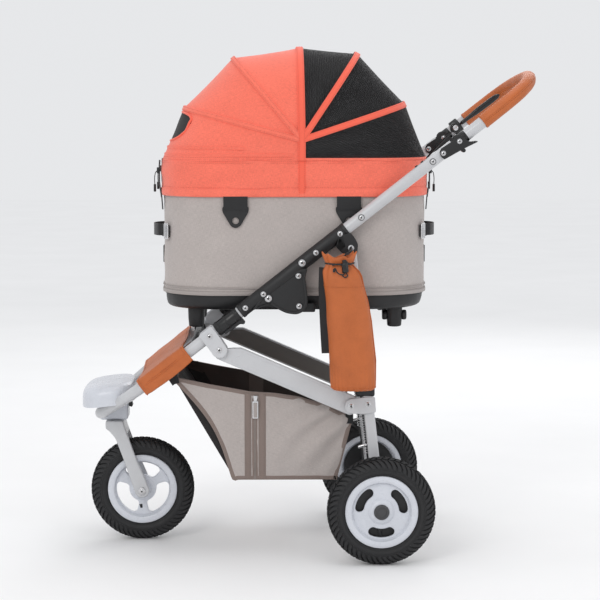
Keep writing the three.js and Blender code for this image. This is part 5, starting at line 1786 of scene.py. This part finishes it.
def make_cot():
    levels = [(0.5425 + 0.2685 * i / 16, 0.0 - 0.0012 * sin(pi * i / 16), 0.0018) for i in range(17)]
    wall = ring_skin("wall", levels)
    outward(wall)
    walled(wall, 0.004, -1.0)
    pieces = [coat(soften(wall, 60), "greige")]
    for z, grow, width in ((0.5465, 0.001, 0.0075), (0.5575, 0.0006, 0.0024)):
        pieces.append(ring_strip("hem", z, grow, width, 0.0034, "greige_hem"))
    for z in (0.552, 0.5605):
        line = cot_loop(z, 0.0016)
        pieces.append(stitches([line + [line[0]]], "grey_thread"))
    # vertical seams at the ends
    for x, k in ((COT_X[0], -1), (COT_X[1], 1)):
        tab = coat(box_block("tab", (x + (k * 0.001 - 0.0022), -0.012, 0.6),
            (x + (k * 0.001 + 0.0022), 0.012, 0.636), 0.0014), "black")
        pieces.append(tab)
        z = 0.6715
        strap = [vec(x + k * 0.0018, y, z) for y in (-0.06, -0.045)]
        loop = [Vector((x + k * (0.0018 + 0.0205 * sin(pi * i / 12) ** 0.6), -0.045 + 0.09 * i / 12, z))
            for i in range(13)]
        strap += loop[1:-1] + [vec(x + k * 0.0018, y, z) for y in (0.045, 0.06)]
        pieces.append(coat(sweep("end_strap", curved(strap, 60), rect(0.0009, 0.0125), up=(0, 0, 1)),
            "webbing"))
    place(joined("cot_cloth", pieces), "cot", "grey_fabric", "cot_wall")

    buckles = []
    for x, k in ((COT_X[0], -1), (COT_X[1], 1)):
        for side in (-1, 1):
            # strap ends that come round the corner, and their metal buckles
            cx = x - k * COT_CORNER
            cy = side * (COT_HALF - COT_CORNER)
            arc_pts = []
            for i in range(13):
                ang = radians(33 - 33 * i / 12)
                r = COT_CORNER + 0.0022
                arc_pts.append(vec(cx + k * r * cos(ang), cy + side * r * sin(ang), 0.6715))
            tail = arc_pts[1:]
            buckles.append(coat(sweep("strap", curved(tail, 30), rect(0.0008, 0.0125), up=(0, 0, 1)),
                "webbing"))
            p, q = arc_pts[1], arc_pts[4]
            t = (q - p).normalized()
            mid = (p + q) / 2 + vec(k * 0.003, side * 0.0014, 0)
            for off in (-0.0075, 0.0, 0.0075):
                c = mid + t * off
                buckles.append(coat(rod("bar", c + vec(0, 0, -0.0145), c + vec(0, 0, 0.0145), 0.0019, 0.0006,
                    14), "steel"))
            for zz in (-0.0145, 0.0145):
                buckles.append(coat(rod("bar", mid - t * 0.0092 + vec(0, 0, zz),
                    mid + t * 0.0092 + vec(0, 0, zz), 0.0019, 0.0006, 14), "steel"))
    place(joined("end_strap_buckles", buckles), "cot", "steel")

    # band: a gathered cuff with a rolled hem
    levels = [(0.7453, 0.0036, 0.0004), (0.747, 0.0056, 0.0006), (0.752, 0.006, 0.0006),
        (0.759, 0.0056, 0.0006), (0.7625, 0.0036, 0.0008)]
    n = 14
    levels += [(0.7635 + 0.0555 * i / n, 0.0034 + 0.0012 * sin(pi * i / n), 0.0034) for i in range(n + 1)]
    band = ring_skin("band", levels, count=360)
    outward(band)
    walled(band, 0.0014, -1.0)
    parts = [coat(soften(band, 60), "coral")]
    for z, grow in ((0.7645, 0.0044), (0.8145, 0.0046), (0.8178, 0.0042)):
        line = cot_loop(z, grow)
        parts.append(stitches([line + [line[0]]], "coral_thread"))
    for k in (-1, 1):
        x = HOOD_PIVOT[0]
        y = k * (COT_HALF + 0.005)
        strip = [vec(x, y, 0.7465), vec(x, y + k * 0.0006, 0.765), vec(x, y, 0.8),
            vec(x, y - k * 0.0006, 0.819)]
        sec = [(-0.007, -0.0009), (-0.007, 0.0005), (-0.0062, 0.0009), (0.0062, 0.0009), (0.007, 0.0005),
            (0.007, -0.0009)]
        parts.append(coat(sweep("centre", curved(strip, 24), sec, up=(0, k, 0)), "coral_binding"))
        for dx in (-0.005, 0.005):
            parts.append(stitches([[p + vec(dx, k * 0.0012, 0) for p in curved(strip, 24)]], "coral_thread"))
    place(joined("coral_band", parts), "cot", "coral_fabric", "cot_band")

    # end zips: black tape, slider and pull on a thin cord
    for x, k, name in ((COT_X[0], -1, "front"), (COT_X[1], 1, "rear")):
        parts = []
        for side in (-1, 1):
            ang = radians(9)
            r = COT_CORNER + 0.0062
            cx, cy = x - k * COT_CORNER, side * (COT_HALF - COT_CORNER)
            spot = vec(cx + k * r * cos(ang), cy + side * r * sin(ang), 0)
            out = vec(k * cos(ang), side * sin(ang), 0)
            tape = [spot + out * d + vec(0, 0, z) for d, z in ((0.002, 0.818), (0.003, 0.795), (0.0028, 0.77),
                (-0.001, 0.745), (-0.0035, 0.715))]
            parts.append(coat(sweep("tape", curved(tape, 40), rect(0.006, 0.0009), up=out), "webbing"))
            parts.append(zip_teeth("teeth", [[p + out * 0.0014 for p in curved(tape, 40)][:30]], "dark_steel",
                0.004))
            s = spot + out * 0.0052
            parts.append(coat(rod("slider", s + vec(0, 0, 0.79), s + vec(0, 0, 0.803), 0.0034, 0.001, 16),
                "gloss_black"))
            cord = [s + out * d + vec(0, 0, z) for d, z in ((0.001, 0.797), (0.006, 0.792), (0.008, 0.78),
                (0.0075, 0.766))]
            parts.append(coat(sweep("pull_cord", curved(cord, 24), 0.0009), "gloss_black"))
            e = cord[-1]
            parts.append(coat(rod("pull", e + vec(0, 0, 0.002), e + vec(0, 0, -0.014), 0.0026, 0.001, 14),
                "gloss_black"))
        place(joined(f"end_zips_{name}", parts), "cot", "black_plastic")

    # tray
    levels = [(-0.2915, 0.2275, 0.1395, 0.11, 0.5122), (-0.2945, 0.2325, 0.145, 0.112, 0.5142),
        (-0.2972, 0.2365, 0.1495, 0.114, 0.5178), (-0.2982, 0.2385, 0.1515, 0.115, 0.522),
        (-0.2996, 0.241, 0.1538, 0.117, 0.531), (-0.3, 0.242, 0.1545, 0.118, 0.5405)]
    rows = []
    for x0, x1, half, corner, z in levels:
        loop = stadium(x0, x1, half, corner, z)
        loop = evenly(loop + [loop[0]], 200, True)
        rows.append(loop + [loop[0]])
    shell = ruled("shell", rows)
    bm = bmesh.new()
    bm.from_mesh(shell.data)
    bmesh.ops.remove_doubles(bm, verts=bm.verts, dist=1e-6)
    edges = [e for e in bm.edges if e.is_boundary and e.verts[0].co.z < 0.513]
    bmesh.ops.contextual_create(bm, geom=edges)
    bm.to_mesh(shell.data)
    bm.free()
    outward(shell)
    pieces = [coat(soften(shell, 40), "black")]
    pieces.append(coat(sweep("lip", [Vector(p) for p in rows[-1][:-1]],
        [(-0.0022, -0.0012), (0.0014, -0.0012), (0.0014, 0.0012), (-0.0022, 0.0012)], closed=True,
        up=(0, 0, 1)), "black"))
    for cx, half in ((-0.2345, 0.0175), (0.1795, 0.0165)):
        for cy in (-0.09, 0.09):
            rows = []
            for z, grow in ((0.472, -0.004), (0.473, -0.0025), (0.475, -0.0018), (0.49, -0.0006),
                    (0.513, 0.0), (0.5155, 0.004)):
                loop = stadium(cx - half - grow, cx + half + grow, 0.015 + grow, 0.0095, z, 6, 3)
                rows.append([p + vec(0, cy, 0) for p in loop])
            foot = ruled("foot", rows, closed=True, capped=True)
            outward(foot)
            pieces.append(coat(soften(foot, 40), "black"))
            if cx > 0:
                for dx in (-1, 1):
                    pieces.append(coat(rod("knob", (cx + dx * 0.015, cy, 0.4955),
                        (cx + dx * 0.0255, cy, 0.4955), 0.0105, 0.003, 24), "black"))
            pieces.append(coat(rod("pad", (cx, cy, 0.4713), (cx, cy, 0.4735), 0.011, 0.0006, 24), "rubber"))
    place(joined("base_tray", pieces), "cot", "black_plastic", "tray")

    # mat: a quilted cushion
    rows = []
    for z, grow in ((0.5375, -0.01), (0.5385, -0.004), (0.5415, 0.0), (0.546, 0.0015), (0.554, 0.0),
            (0.5585, -0.004)):
        loop = stadium(-0.288 - grow, 0.23 + grow, 0.1415 + grow, 0.1075, z)
        loop = evenly(loop + [loop[0]], 160, True)
        rows.append(loop)
    centre = vec(-0.029, 0, 0)
    outer = rows[-1]
    for f in (0.94, 0.85, 0.74, 0.62, 0.5, 0.38, 0.26, 0.14, 0.05):
        row = []
        for p in outer:
            q = vec(centre.x + (p.x - centre.x) * f, p.y * f, 0)
            quilt = abs(sin(q.x * 31)) ** 0.5 * abs(sin(q.y * 31 + 0.5 * pi)) ** 0.5
            row.append(Vector((q.x, q.y, 0.5585 + 0.0055 * quilt * min(1, (1 - f) * 6))))
        rows.append(row)
    mat = ruled("pad", rows, closed=True, capped=True)
    outward(mat)
    coat(soften(mat, 60), "lining")
    piping = coat(sweep("piping", rows[3], 0.002, closed=True), "taupe")
    obj = place(joined("cot_mat", [mat, piping]), "cot", "grey_fabric", "mat")

    # hooks: webbing from under the band to a black plastic triangle with a round eye
    for side, k in SIDES:
        for end, x in (("front", -0.151), ("rear", 0.081)):
            a, b = sorted((k * 0.1588, k * 0.1618))
            outline = rounded([(x - 0.027, 0.7265), (x - 0.027, 0.7155), (x - 0.0095, 0.6855), (x, 0.6815),
                (x + 0.0095, 0.6855), (x + 0.027, 0.7155), (x + 0.027, 0.7265)], 0.005, 5)
            eye = arc(x, 0.697, 0.0068, 0, 360, 32)[:-1]
            slot = rounded([(x - 0.0215, 0.723), (x - 0.0215, 0.72), (x + 0.0215, 0.72), (x + 0.0215, 0.723)],
                0.0012, 3)
            pieces = [coat(plate("hook", [outline, eye, slot], a, b, 0.0011, 3), "black")]
            strap = [vec(x, k * 0.16, 0.7155), vec(x, k * 0.1626, 0.7192), vec(x, k * 0.1634, 0.728),
                vec(x, k * 0.1628, 0.747)]
            pieces.append(coat(sweep("strap", curved(strap, 20), rect(0.0248, 0.0009), up=(0, k, 0)),
                "webbing"))
            for zz in (0.734, 0.7365):
                pieces.append(stitches([[vec(x - 0.018 + 0.036 * i / 12, k * 0.164, zz) for i in range(13)]],
                    "black", 0.0034))
            place(joined(f"hook_{end}_{side}", pieces), "cot", "black_plastic", f"cot_hook_{end}_{side}")
        obj = coat(copied(f"hood_stay_{side}", f"stay_{side}", 0.0015, 3), "black")
        place(obj, "cot", "black_plastic", f"hood_stay_{side}")


class STROLLER_OT_cot(bpy.types.Operator):
    """Make the cot's cloth wall, coral band, tray, mat, hooks, end straps and hood stays"""

    bl_idname = "stroller.cot"
    bl_label = "Cot"

    def execute(self, context):
        make_cot()
        return {"FINISHED"}


# ---------- hood ----------
def hoop_point(angle, reach, half, t):
    f = pi * t
    out = reach * sin(f) ** 0.85
    y = -half * copysign(abs(cos(f)) ** 0.8, cos(f))
    a = radians(angle)
    return vec(HOOD_PIVOT[0] + out * cos(a), y, HOOD_PIVOT[1] + out * sin(a))


def rim_point(direction, t):
    """Point on the cot's rim at the foot of the hood, towards the front (-1) or the rear (+1)."""
    end = COT_X[0] - 0.002 if direction < 0 else COT_X[1] + 0.002
    corner, half = COT_CORNER, 0.161
    start = HOOD_PIVOT[0] + direction * 0.003
    straight = abs(end - direction * corner - start)
    curve = pi / 2 * corner
    across = 2 * (half - corner)
    total = 2 * (straight + curve) + across
    d = t * total
    flip = d > total / 2
    d = total - d if flip else d
    if d < straight:
        x, y = start + direction * d, -half
    elif d < straight + curve:
        a = (d - straight) / corner
        x, y = end - direction * corner * (1 - sin(a)), -half + corner * (1 - cos(a))
    else:
        x, y = end, -half + corner + (d - straight - curve)
    return vec(x, -y if flip else y, 0.819)


T_END = 0.001
COLS = 150


def hoop_line(i, lift=0.0, count=COLS):
    angle, reach = HOOPS[i]
    return [hoop_point(angle, reach + lift, HOOD_HALF + lift, T_END + (1 - 2 * T_END) * j / (count - 1))
        for j in range(count)]


def rim_line(direction, count=COLS):
    return [rim_point(direction, T_END + (1 - 2 * T_END) * j / (count - 1)) for j in range(count)]


def panel_rows(first, last, rows=22, sag=0.0018, folds=0.0022, seed=0.0):
    """Cloth stretched from one hoop line to the next, creased where it gathers at the sides."""
    out = []
    for i in range(rows + 1):
        u = i / rows
        row = []
        for j, (a, b) in enumerate(zip(first, last)):
            p = a.lerp(b, u)
            t = j / (len(first) - 1)
            inward = (vec(HOOD_PIVOT[0], 0, HOOD_PIVOT[1] - 0.03) - p).normalized()
            side = abs(2 * t - 1) ** 2
            hold = sin(pi * u)
            p = p + inward * (sag * hold * (1 - side))
            ripple = wrinkle((p.x, p.y * 0.5, p.z), 26, folds * (0.35 + 1.1 * side), seed)
            ripple += wrinkle((u * 0.12, t * 0.02, 0), 60, folds * 0.6 * side, seed + 4)
            row.append(p + inward * ripple * hold)
        out.append(row)
    return out


def level_line(rows, z, lift, start=0.0, stop=1.0):
    """Line at height z round a low hood panel, lifted off its cloth."""
    line = []
    for j in range(COLS):
        t = j / (COLS - 1)
        if not start <= t <= stop:
            continue
        column = [row[j] for row in rows]
        for a, b in zip(column, column[1:]):
            if (a.z - z) * (b.z - z) <= 0 and a.z != b.z:
                p = a.lerp(b, (z - a.z) / (b.z - a.z))
                out = vec(p.x - HOOD_PIVOT[0], p.y, 0).normalized()
                line.append(p + out * lift)
                break
    return line


def face_material(obj, test, index):
    for polygon in obj.data.polygons:
        if test(polygon.center):
            polygon.material_index = index


def tape_section(width, thick):
    w, t = width / 2, thick
    return [(-w, -t), (-w, t * 0.4), (-w * 0.82, t), (0.0, t * 1.25), (w * 0.82, t), (w, t * 0.4), (w, -t)]


def seam_tape(line, width, material, thread="coral_thread", thick=0.001, rows=2, lift=0.0012):
    """A binding along a hoop line, standing off the cloth, with its stitches."""
    centre = vec(HOOD_PIVOT[0], 0, HOOD_PIVOT[1] - 0.03)
    path = evenly(line, 180)
    verts_up = [(p - centre).normalized() for p in path]
    n = len(path)
    section = tape_section(width, thick)
    verts, uvs = [], []
    run = 0.0
    for i, p in enumerate(path):
        t = (path[min(i + 1, n - 1)] - path[max(i - 1, 0)]).normalized()
        up = (verts_up[i] - t * verts_up[i].dot(t)).normalized()
        side = t.cross(up)
        if i:
            run += (p - path[i - 1]).length
        for s, u in section:
            verts.append(p + side * s + up * (u + lift))
            uvs.append((run, s))
    m = len(section)
    faces = []
    for i in range(n - 1):
        for j in range(m):
            k = (j + 1) % m
            faces.append((i * m + j, i * m + k, (i + 1) * m + k, (i + 1) * m + j))
    faces.append(list(range(m)))
    faces.append([(n - 1) * m + j for j in range(m)][::-1])
    strip = new_object("tape", verts, faces, uvs)
    outward(strip)
    coat(soften(strip, 50), material)
    pieces = [strip]
    lines = []
    for e in range(rows):
        s = (-1 if e == 0 else 1) * (width / 2 - 0.0022)
        one = []
        for i, p in enumerate(path):
            t = (path[min(i + 1, n - 1)] - path[max(i - 1, 0)]).normalized()
            up = (verts_up[i] - t * verts_up[i].dot(t)).normalized()
            one.append(p + t.cross(up) * s + up * (thick * 1.05 + lift + 0.0002))
        lines.append(one)
    pieces.append(stitches(lines, thread))
    return pieces


def make_hood():
    lines = [hoop_line(i) for i in range(5)]
    front_rim, rear_rim = rim_line(-1), rim_line(1)

    def sector(name, first, last, materials, test=None, extra=(), seed=0.0, rows=22,
            sag=0.0018, folds=0.0022, thick=0.0012):
        skin = ruled("skin", panel_rows(first, last, rows, sag, folds, seed))
        coat(skin, *materials)
        if test:
            face_material(skin, test, 1)
        facing(skin, len(skin.data.polygons) // 2, lambda c: c - vec(HOOD_PIVOT[0], 0, HOOD_PIVOT[1] - 0.05))
        walled(skin, thick, -1.0)
        soften(skin, 60)
        obj = joined(name, [skin, *extra])
        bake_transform(obj)
        return obj

    sector("hood_panel_front_mid", lines[1], lines[2], ("coral",),
        seed=1.0)
    sector("hood_panel_front", lines[0], lines[1], ("coral",),
        seed=2.0)
    sector("hood_mesh_rear_mid", lines[2], lines[3], ("mesh",),
        seed=3.0, thick=0.0005, folds=0.0007, sag=0.001)
    sector("hood_mesh_rear", lines[3], lines[4], ("mesh",),
        seed=4.0, thick=0.0005, folds=0.0007, sag=0.001)

    # low front panel with its mesh window
    rows = panel_rows(front_rim, lines[0], 40, 0.0005, 0.0026, 6.0)
    skin = ruled("skin", rows)
    coat(skin, "coral", "dense_mesh")

    def in_window(c, grow=0.0):
        return c.x < -0.18 and abs(c.y / (0.098 + grow)) ** 3.4 + abs(
            (c.z - 0.888) / (0.03 + grow)) ** 3.4 < 1

    face_material(skin, in_window, 1)
    facing(skin, COLS // 2, lambda c: vec(-1, 0, 0))
    walled(skin, 0.0012, -1.0)
    soften(skin, 60)
    pieces = [skin]

    def on_front(y, z):
        best = None
        for row in rows:
            for p in row:
                if p.x < -0.15:
                    d = (p.y - y) ** 2 + (p.z - z) ** 2
                    if best is None or d < best[0]:
                        best = (d, p)
        return best[1]

    loop = []
    for i in range(56):
        a = 2 * pi * i / 56
        c, s = cos(a), sin(a)
        y = 0.098 * copysign(abs(c) ** (2 / 3.4), c)
        z = 0.888 + 0.03 * copysign(abs(s) ** (2 / 3.4), s)
        loop.append(vec(on_front(y, z).x - 0.0008, y, z))
    smooth_x = [sum(loop[(i + d) % 56].x for d in (-2, -1, 0, 1, 2)) / 5 for i in range(56)]
    loop = [vec(x, p.y, p.z) for x, p in zip(smooth_x, loop)]
    pieces.append(coat(sweep("window_edge", curved(loop, 160, True), 0.0026, closed=True), "coral_binding"))
    # door flap: two stitched lines along the front and sides

    for z, a, b in ((0.8215, 0.02, 0.98), (0.826, 0.02, 0.98)):
        pieces.append(stitches([level_line(rows, z, 0.0006, a, b)], "coral_thread"))
    edge = level_line(rows, 0.8305, 0.0004, 0.02, 0.98)
    pieces.append(coat(sweep("fold", evenly(edge, 160), rect(0.0008, 0.0022), up=(0, 0, 1)), "coral"))
    flap = [p for p in level_line(rows, 0.8447, 0.001, 0.14, 0.86) if p.x < -0.12]
    if len(flap) > 4:
        pieces.append(coat(sweep("flap_edge", evenly(flap, 120), rect(0.0009, 0.0026), up=(0, 0, 1)),
            "coral"))
        pieces.append(stitches([[p + vec(0, 0, -0.0045) for p in evenly(flap, 120)]], "coral_thread"))
    pieces += seam_tape(lines[0], 0.011, "coral", thick=0.0013)
    obj = joined("hood_panel_front_low", pieces)
    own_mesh(place(obj, "rib_1", "coral_fabric", "hood_front"))

    # low rear panel: coral foot, mesh above
    rows = panel_rows(lines[4], rear_rim, 40, 0.0005, 0.0008, 7.0)
    skin = ruled("skin", rows)
    coat(skin, "mesh", "coral")
    face_material(skin, lambda c: c.z < 0.8205, 1)
    facing(skin, len(skin.data.polygons) // 2, lambda c: vec(1, 0, 0))
    walled(skin, 0.0008, -1.0)
    soften(skin, 60)
    pieces = [skin]
    for z, width in ((0.8225, 0.0026),):
        line = level_line(rows, z, 0.0008)
        pieces.append(coat(sweep("fold", evenly(line, 170), rect(0.0011, width), up=(0, 0, 1)), "coral"))
        pieces.append(stitches([[p + vec(0, 0, -0.0015)
            + vec(p.x - HOOD_PIVOT[0], p.y, 0).normalized() * 0.0013 for p in evenly(line, 170)]],
            "coral_thread"))
    pieces += seam_tape(lines[4], 0.013, "coral_binding", thick=0.0012)
    obj = joined("hood_panel_rear_low", pieces)
    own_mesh(place(obj, "rib_5", "coral_fabric", "hood_rear"))

    # bindings that ride on the other hoops
    for i, name, body, width, material in ((1, "hood_seam_2", "rib_2", 0.011, "coral"),
            (2, "hood_crest", "cot", 0.015, "coral_binding"),
            (3, "hood_seam_4", "rib_4", 0.013, "coral_binding")):
        line = lines[i]
        if i == 2:
            foot = [vec(HOOD_PIVOT[0], 0.1632, 0.8195 + 0.0035 * j) for j in range(12)]
            line = [vec(p.x, -p.y, p.z) for p in foot] + line[2:-2] + foot[::-1]
        obj = joined(name, seam_tape(line, width, material, thick=0.0013 if i != 2 else 0.0016))
        place(obj, body, "coral_fabric")

    bodies = ("rib_1", "rib_2", "cot", "rib_4", "rib_5")
    for i, (body, (angle, reach)) in enumerate(zip(bodies, HOOPS)):
        half = (0.156, 0.15, 0.144, 0.15, 0.156)[i]
        path = [hoop_point(angle, reach - 0.007, half, 0.015 + 0.97 * j / 119) for j in range(120)]
        pieces = [coat(sweep("wire", evenly(path, 150), 0.0025), "dark_steel")]
        place(joined(f"hoop_{i + 1}", pieces), body, "steel", f"hood_rib_{i + 1}")


class STROLLER_OT_hood(bpy.types.Operator):
    """Make the hood: coral panels, mesh panels, bindings over the hoops and the hoops themselves"""

    bl_idname = "stroller.hood"
    bl_label = "Hood"

    def execute(self, context):
        make_hood()
        return {"FINISHED"}


# ---------- bottle bag ----------
def make_bag():
    levels = [(0.3575, 88, 34, 20), (0.3582, 88, 39, 25), (0.361, 88, 43, 28.5), (0.367, 88, 45.5, 31),
        (0.385, 87.5, 46.3, 31.8), (0.42, 86, 46.8, 32), (0.46, 82.5, 46, 32), (0.5, 78.5, 44.6, 31.8),
        (0.54, 74, 42.8, 31.5), (0.57, 67.5, 40.6, 29.8), (0.59, 64.5, 38, 27.6), (0.6, 62, 35, 25),
        (0.6065, 60.5, 30, 21.5), (0.6115, 59.5, 26.5, 18.5), (0.6155, 59, 26, 18), (0.621, 58.5, 28.6, 19.6),
        (0.628, 58, 31.5, 21.5), (0.6335, 58, 33, 22.2)]
    y0 = -0.232
    count = 144
    rows = []
    for z, cx, ax, ay in levels:
        row = []
        near_neck = max(0.0, 1 - abs(z - 0.6135) / 0.05)
        top = max(0.0, (z - 0.6135) / 0.02)
        for i in range(count):
            a = 2 * pi * i / count
            c, s = cos(a), sin(a)
            pleat = cos(9 * a + 0.8 * sin(2 * a))
            r = 1 + pleat * (0.085 * near_neck ** 1.6 + 0.05 * min(1, top)) * (1 if z < 0.6135 else 0.9)
            x = cx / 1000 + ax / 1000 * copysign(abs(c) ** 0.82, c) * r
            y = y0 + ay / 1000 * copysign(abs(s) ** 0.82, s) * r
            lift = 0.0045 * sin(a * 2 + 1.2) * min(1, top) + 0.003 * pleat * min(1, top)
            p = vec(x, y, z + lift)
            low = max(0.0, 1 - max(0.0, z - 0.3675) / 0.035)
            rip = wrinkle((x, y, z * 0.45), 34, 0.003, 8.0) * min(1.0, (z - 0.357) / 0.03)
            rip += low * 0.0009 * cos(26 * a)
            out = vec(c, s, 0).normalized()
            row.append(p + out * rip)
        rows.append(row)
    fine = []
    for a, b in zip(rows, rows[1:]):
        fine.append(a)
        fine.append([p.lerp(q, 0.5) for p, q in zip(a, b)])
    fine.append(rows[-1])
    skin = ruled("skin", fine, closed=True)
    bm = bmesh.new()
    bm.from_mesh(skin.data)
    bm.verts.ensure_lookup_table()
    bm.faces.new([bm.verts[i] for i in range(count)])
    bm.to_mesh(skin.data)
    bm.free()
    outward(skin)
    facing(skin, len(skin.data.polygons) // 2, lambda c: c - vec(0.085, y0, c.z))
    walled(skin, 0.0018, -1.0)
    subdivided(skin, 1)
    pieces = [coat(skin, "leather")]
    # seams: bottom piping, a seam across the shoulder and one down the side
    pieces.append(coat(sweep("foot_seam", fine[5], 0.0014, closed=True), "leather"))
    shoulder = [p for p in rows[9]]
    shoulder = [p + vec(p.x - 0.0675, p.y - y0, 0).normalized() * 0.0007 for p in shoulder]
    pieces.append(stitches([shoulder + [shoulder[0]]], "leather_thread", 0.0038))
    side = [row[int(count * 0.985) % count] for row in fine[6:-8]]
    pieces.append(coat(sweep("side_seam", [p + vec(0.0004, 0, 0) for p in side], 0.0012), "leather"))
    pieces.append(stitches([[p + vec(-0.001, -0.004, 0) for p in side]], "leather_thread", 0.0038))
    # cord round the neck, its lock and loose ends
    neck = []
    for i in range(90):
        a = 2 * pi * i / 90
        j = int(count * i / 90)
        p = rows[14][j]
        neck.append(p + vec(cos(a), sin(a), 0) * 0.0014)
    pieces.append(coat(sweep("neck_cord", neck, 0.0016, closed=True), "webbing"))
    front = vec(0.0645, y0 - 0.0215, 0.612)
    lock = [coat(rod("lock", front + vec(0.004, -0.004, 0.007), front + vec(0.006, -0.005, -0.013), 0.0068,
        0.0018, 24), "gloss_black"), coat(rod("button", front + vec(0.0038, -0.004, 0.006),
        front + vec(0.0033, -0.004, 0.0125), 0.0044, 0.001, 20), "black")]
    pieces += lock
    ends = [[front + Vector(d) for d in ((-0.02, 0.002, 0.001), (-0.01, -0.003, 0.004), (0.002, -0.005, 0.0),
        (0.004, -0.006, -0.01))], [front + Vector(d) for d in ((0.018, 0.003, 0.002), (0.011, -0.002, 0.006),
        (0.005, -0.004, 0.012), (0.004, -0.004, 0.007))],
        [front + Vector(d) for d in ((0.0055, -0.005, -0.012), (0.0, -0.008, -0.017), (-0.01, -0.009, -0.013),
        (-0.015, -0.008, -0.004), (-0.017, -0.007, -0.008))],
        [front + Vector(d) for d in ((0.006, -0.005, -0.012), (0.01, -0.008, -0.019), (0.004, -0.009, -0.022),
        (-0.002, -0.009, -0.016))]]
    pieces += [coat(sweep("cord", curved(one, 40), 0.0013), "webbing") for one in ends]
    pieces.append(coat(rod("knot", ends[2][-1] + vec(0, 0, 0.003), ends[2][-1] + vec(0, 0, -0.004), 0.0026,
        0.001, 14), "webbing"))
    # hanging loop up to the upper leg bolt
    loop = [vec(0.063, y0 + 0.008, 0.6135), vec(0.07, y0 + 0.006, 0.631), vec(0.0845, -0.212, 0.64),
        vec(0.0845, -0.1995, 0.6465), vec(0.0815, -0.1975, 0.6425), vec(0.079, -0.206, 0.634),
        vec(0.0635, y0 + 0.006, 0.626), vec(0.059, y0 + 0.008, 0.6135)]
    pieces.append(coat(sweep("hang_cord", curved(loop, 70), 0.0014), "webbing"))
    strap = [vec(0.0275, -0.2135, 0.606), vec(0.0265, -0.211, 0.56), vec(0.03, -0.2095, 0.48),
        vec(0.033, -0.2095, 0.43)]
    pieces.append(coat(sweep("back_strap", curved(strap, 40), rect(0.009, 0.0008), up=(0.3, 1, 0)),
        "webbing"))
    place(joined("bag_leather", pieces), "bag", "tan_leather", "bottle_bag")


class STROLLER_OT_bag(bpy.types.Operator):
    """Make the leather bottle bag with its gathered top, cord and lock"""

    bl_idname = "stroller.bag"
    bl_label = "Bottle bag"

    def execute(self, context):
        make_bag()
        return {"FINISHED"}


OPERATORS = (STROLLER_OT_stage, STROLLER_OT_cables, STROLLER_OT_side_frames, STROLLER_OT_brackets,
    STROLLER_OT_rails, STROLLER_OT_front_frame, STROLLER_OT_front_cover, STROLLER_OT_wheels, STROLLER_OT_fork,
    STROLLER_OT_handle, STROLLER_OT_basket, STROLLER_OT_cot, STROLLER_OT_hood, STROLLER_OT_bag)


class STROLLER_PT_pieces(bpy.types.Panel):
    """Sizes, colours and a button for each group of pieces"""

    bl_idname = "STROLLER_PT_pieces"
    bl_label = "Pet stroller"
    bl_space_type = "VIEW_3D"
    bl_region_type = "UI"
    bl_category = "Stroller"

    def draw(self, context):
        for settings in (context.scene.stroller_sizes, context.scene.stroller_colours):
            box = self.layout.box()
            for key in settings.__annotations__:
                box.prop(settings, key)
        column = self.layout.column(align=True)
        for operator in OPERATORS:
            column.operator(operator.bl_idname)


CLASSES = (StrollerSizes, StrollerColours, *OPERATORS, STROLLER_PT_pieces)


def register():
    for cls in CLASSES:
        bpy.utils.register_class(cls)
    bpy.types.Scene.stroller_sizes = bpy.props.PointerProperty(type=StrollerSizes)
    bpy.types.Scene.stroller_colours = bpy.props.PointerProperty(type=StrollerColours)


def unregister():
    del bpy.types.Scene.stroller_colours
    del bpy.types.Scene.stroller_sizes
    for cls in reversed(CLASSES):
        bpy.utils.unregister_class(cls)


def main():
    register()
    make_materials()
    make_trees()
    for operator in OPERATORS:
        group, name = operator.bl_idname.split(".")
        getattr(getattr(bpy.ops, group), name)()


if __name__ == "__main__":
    main()
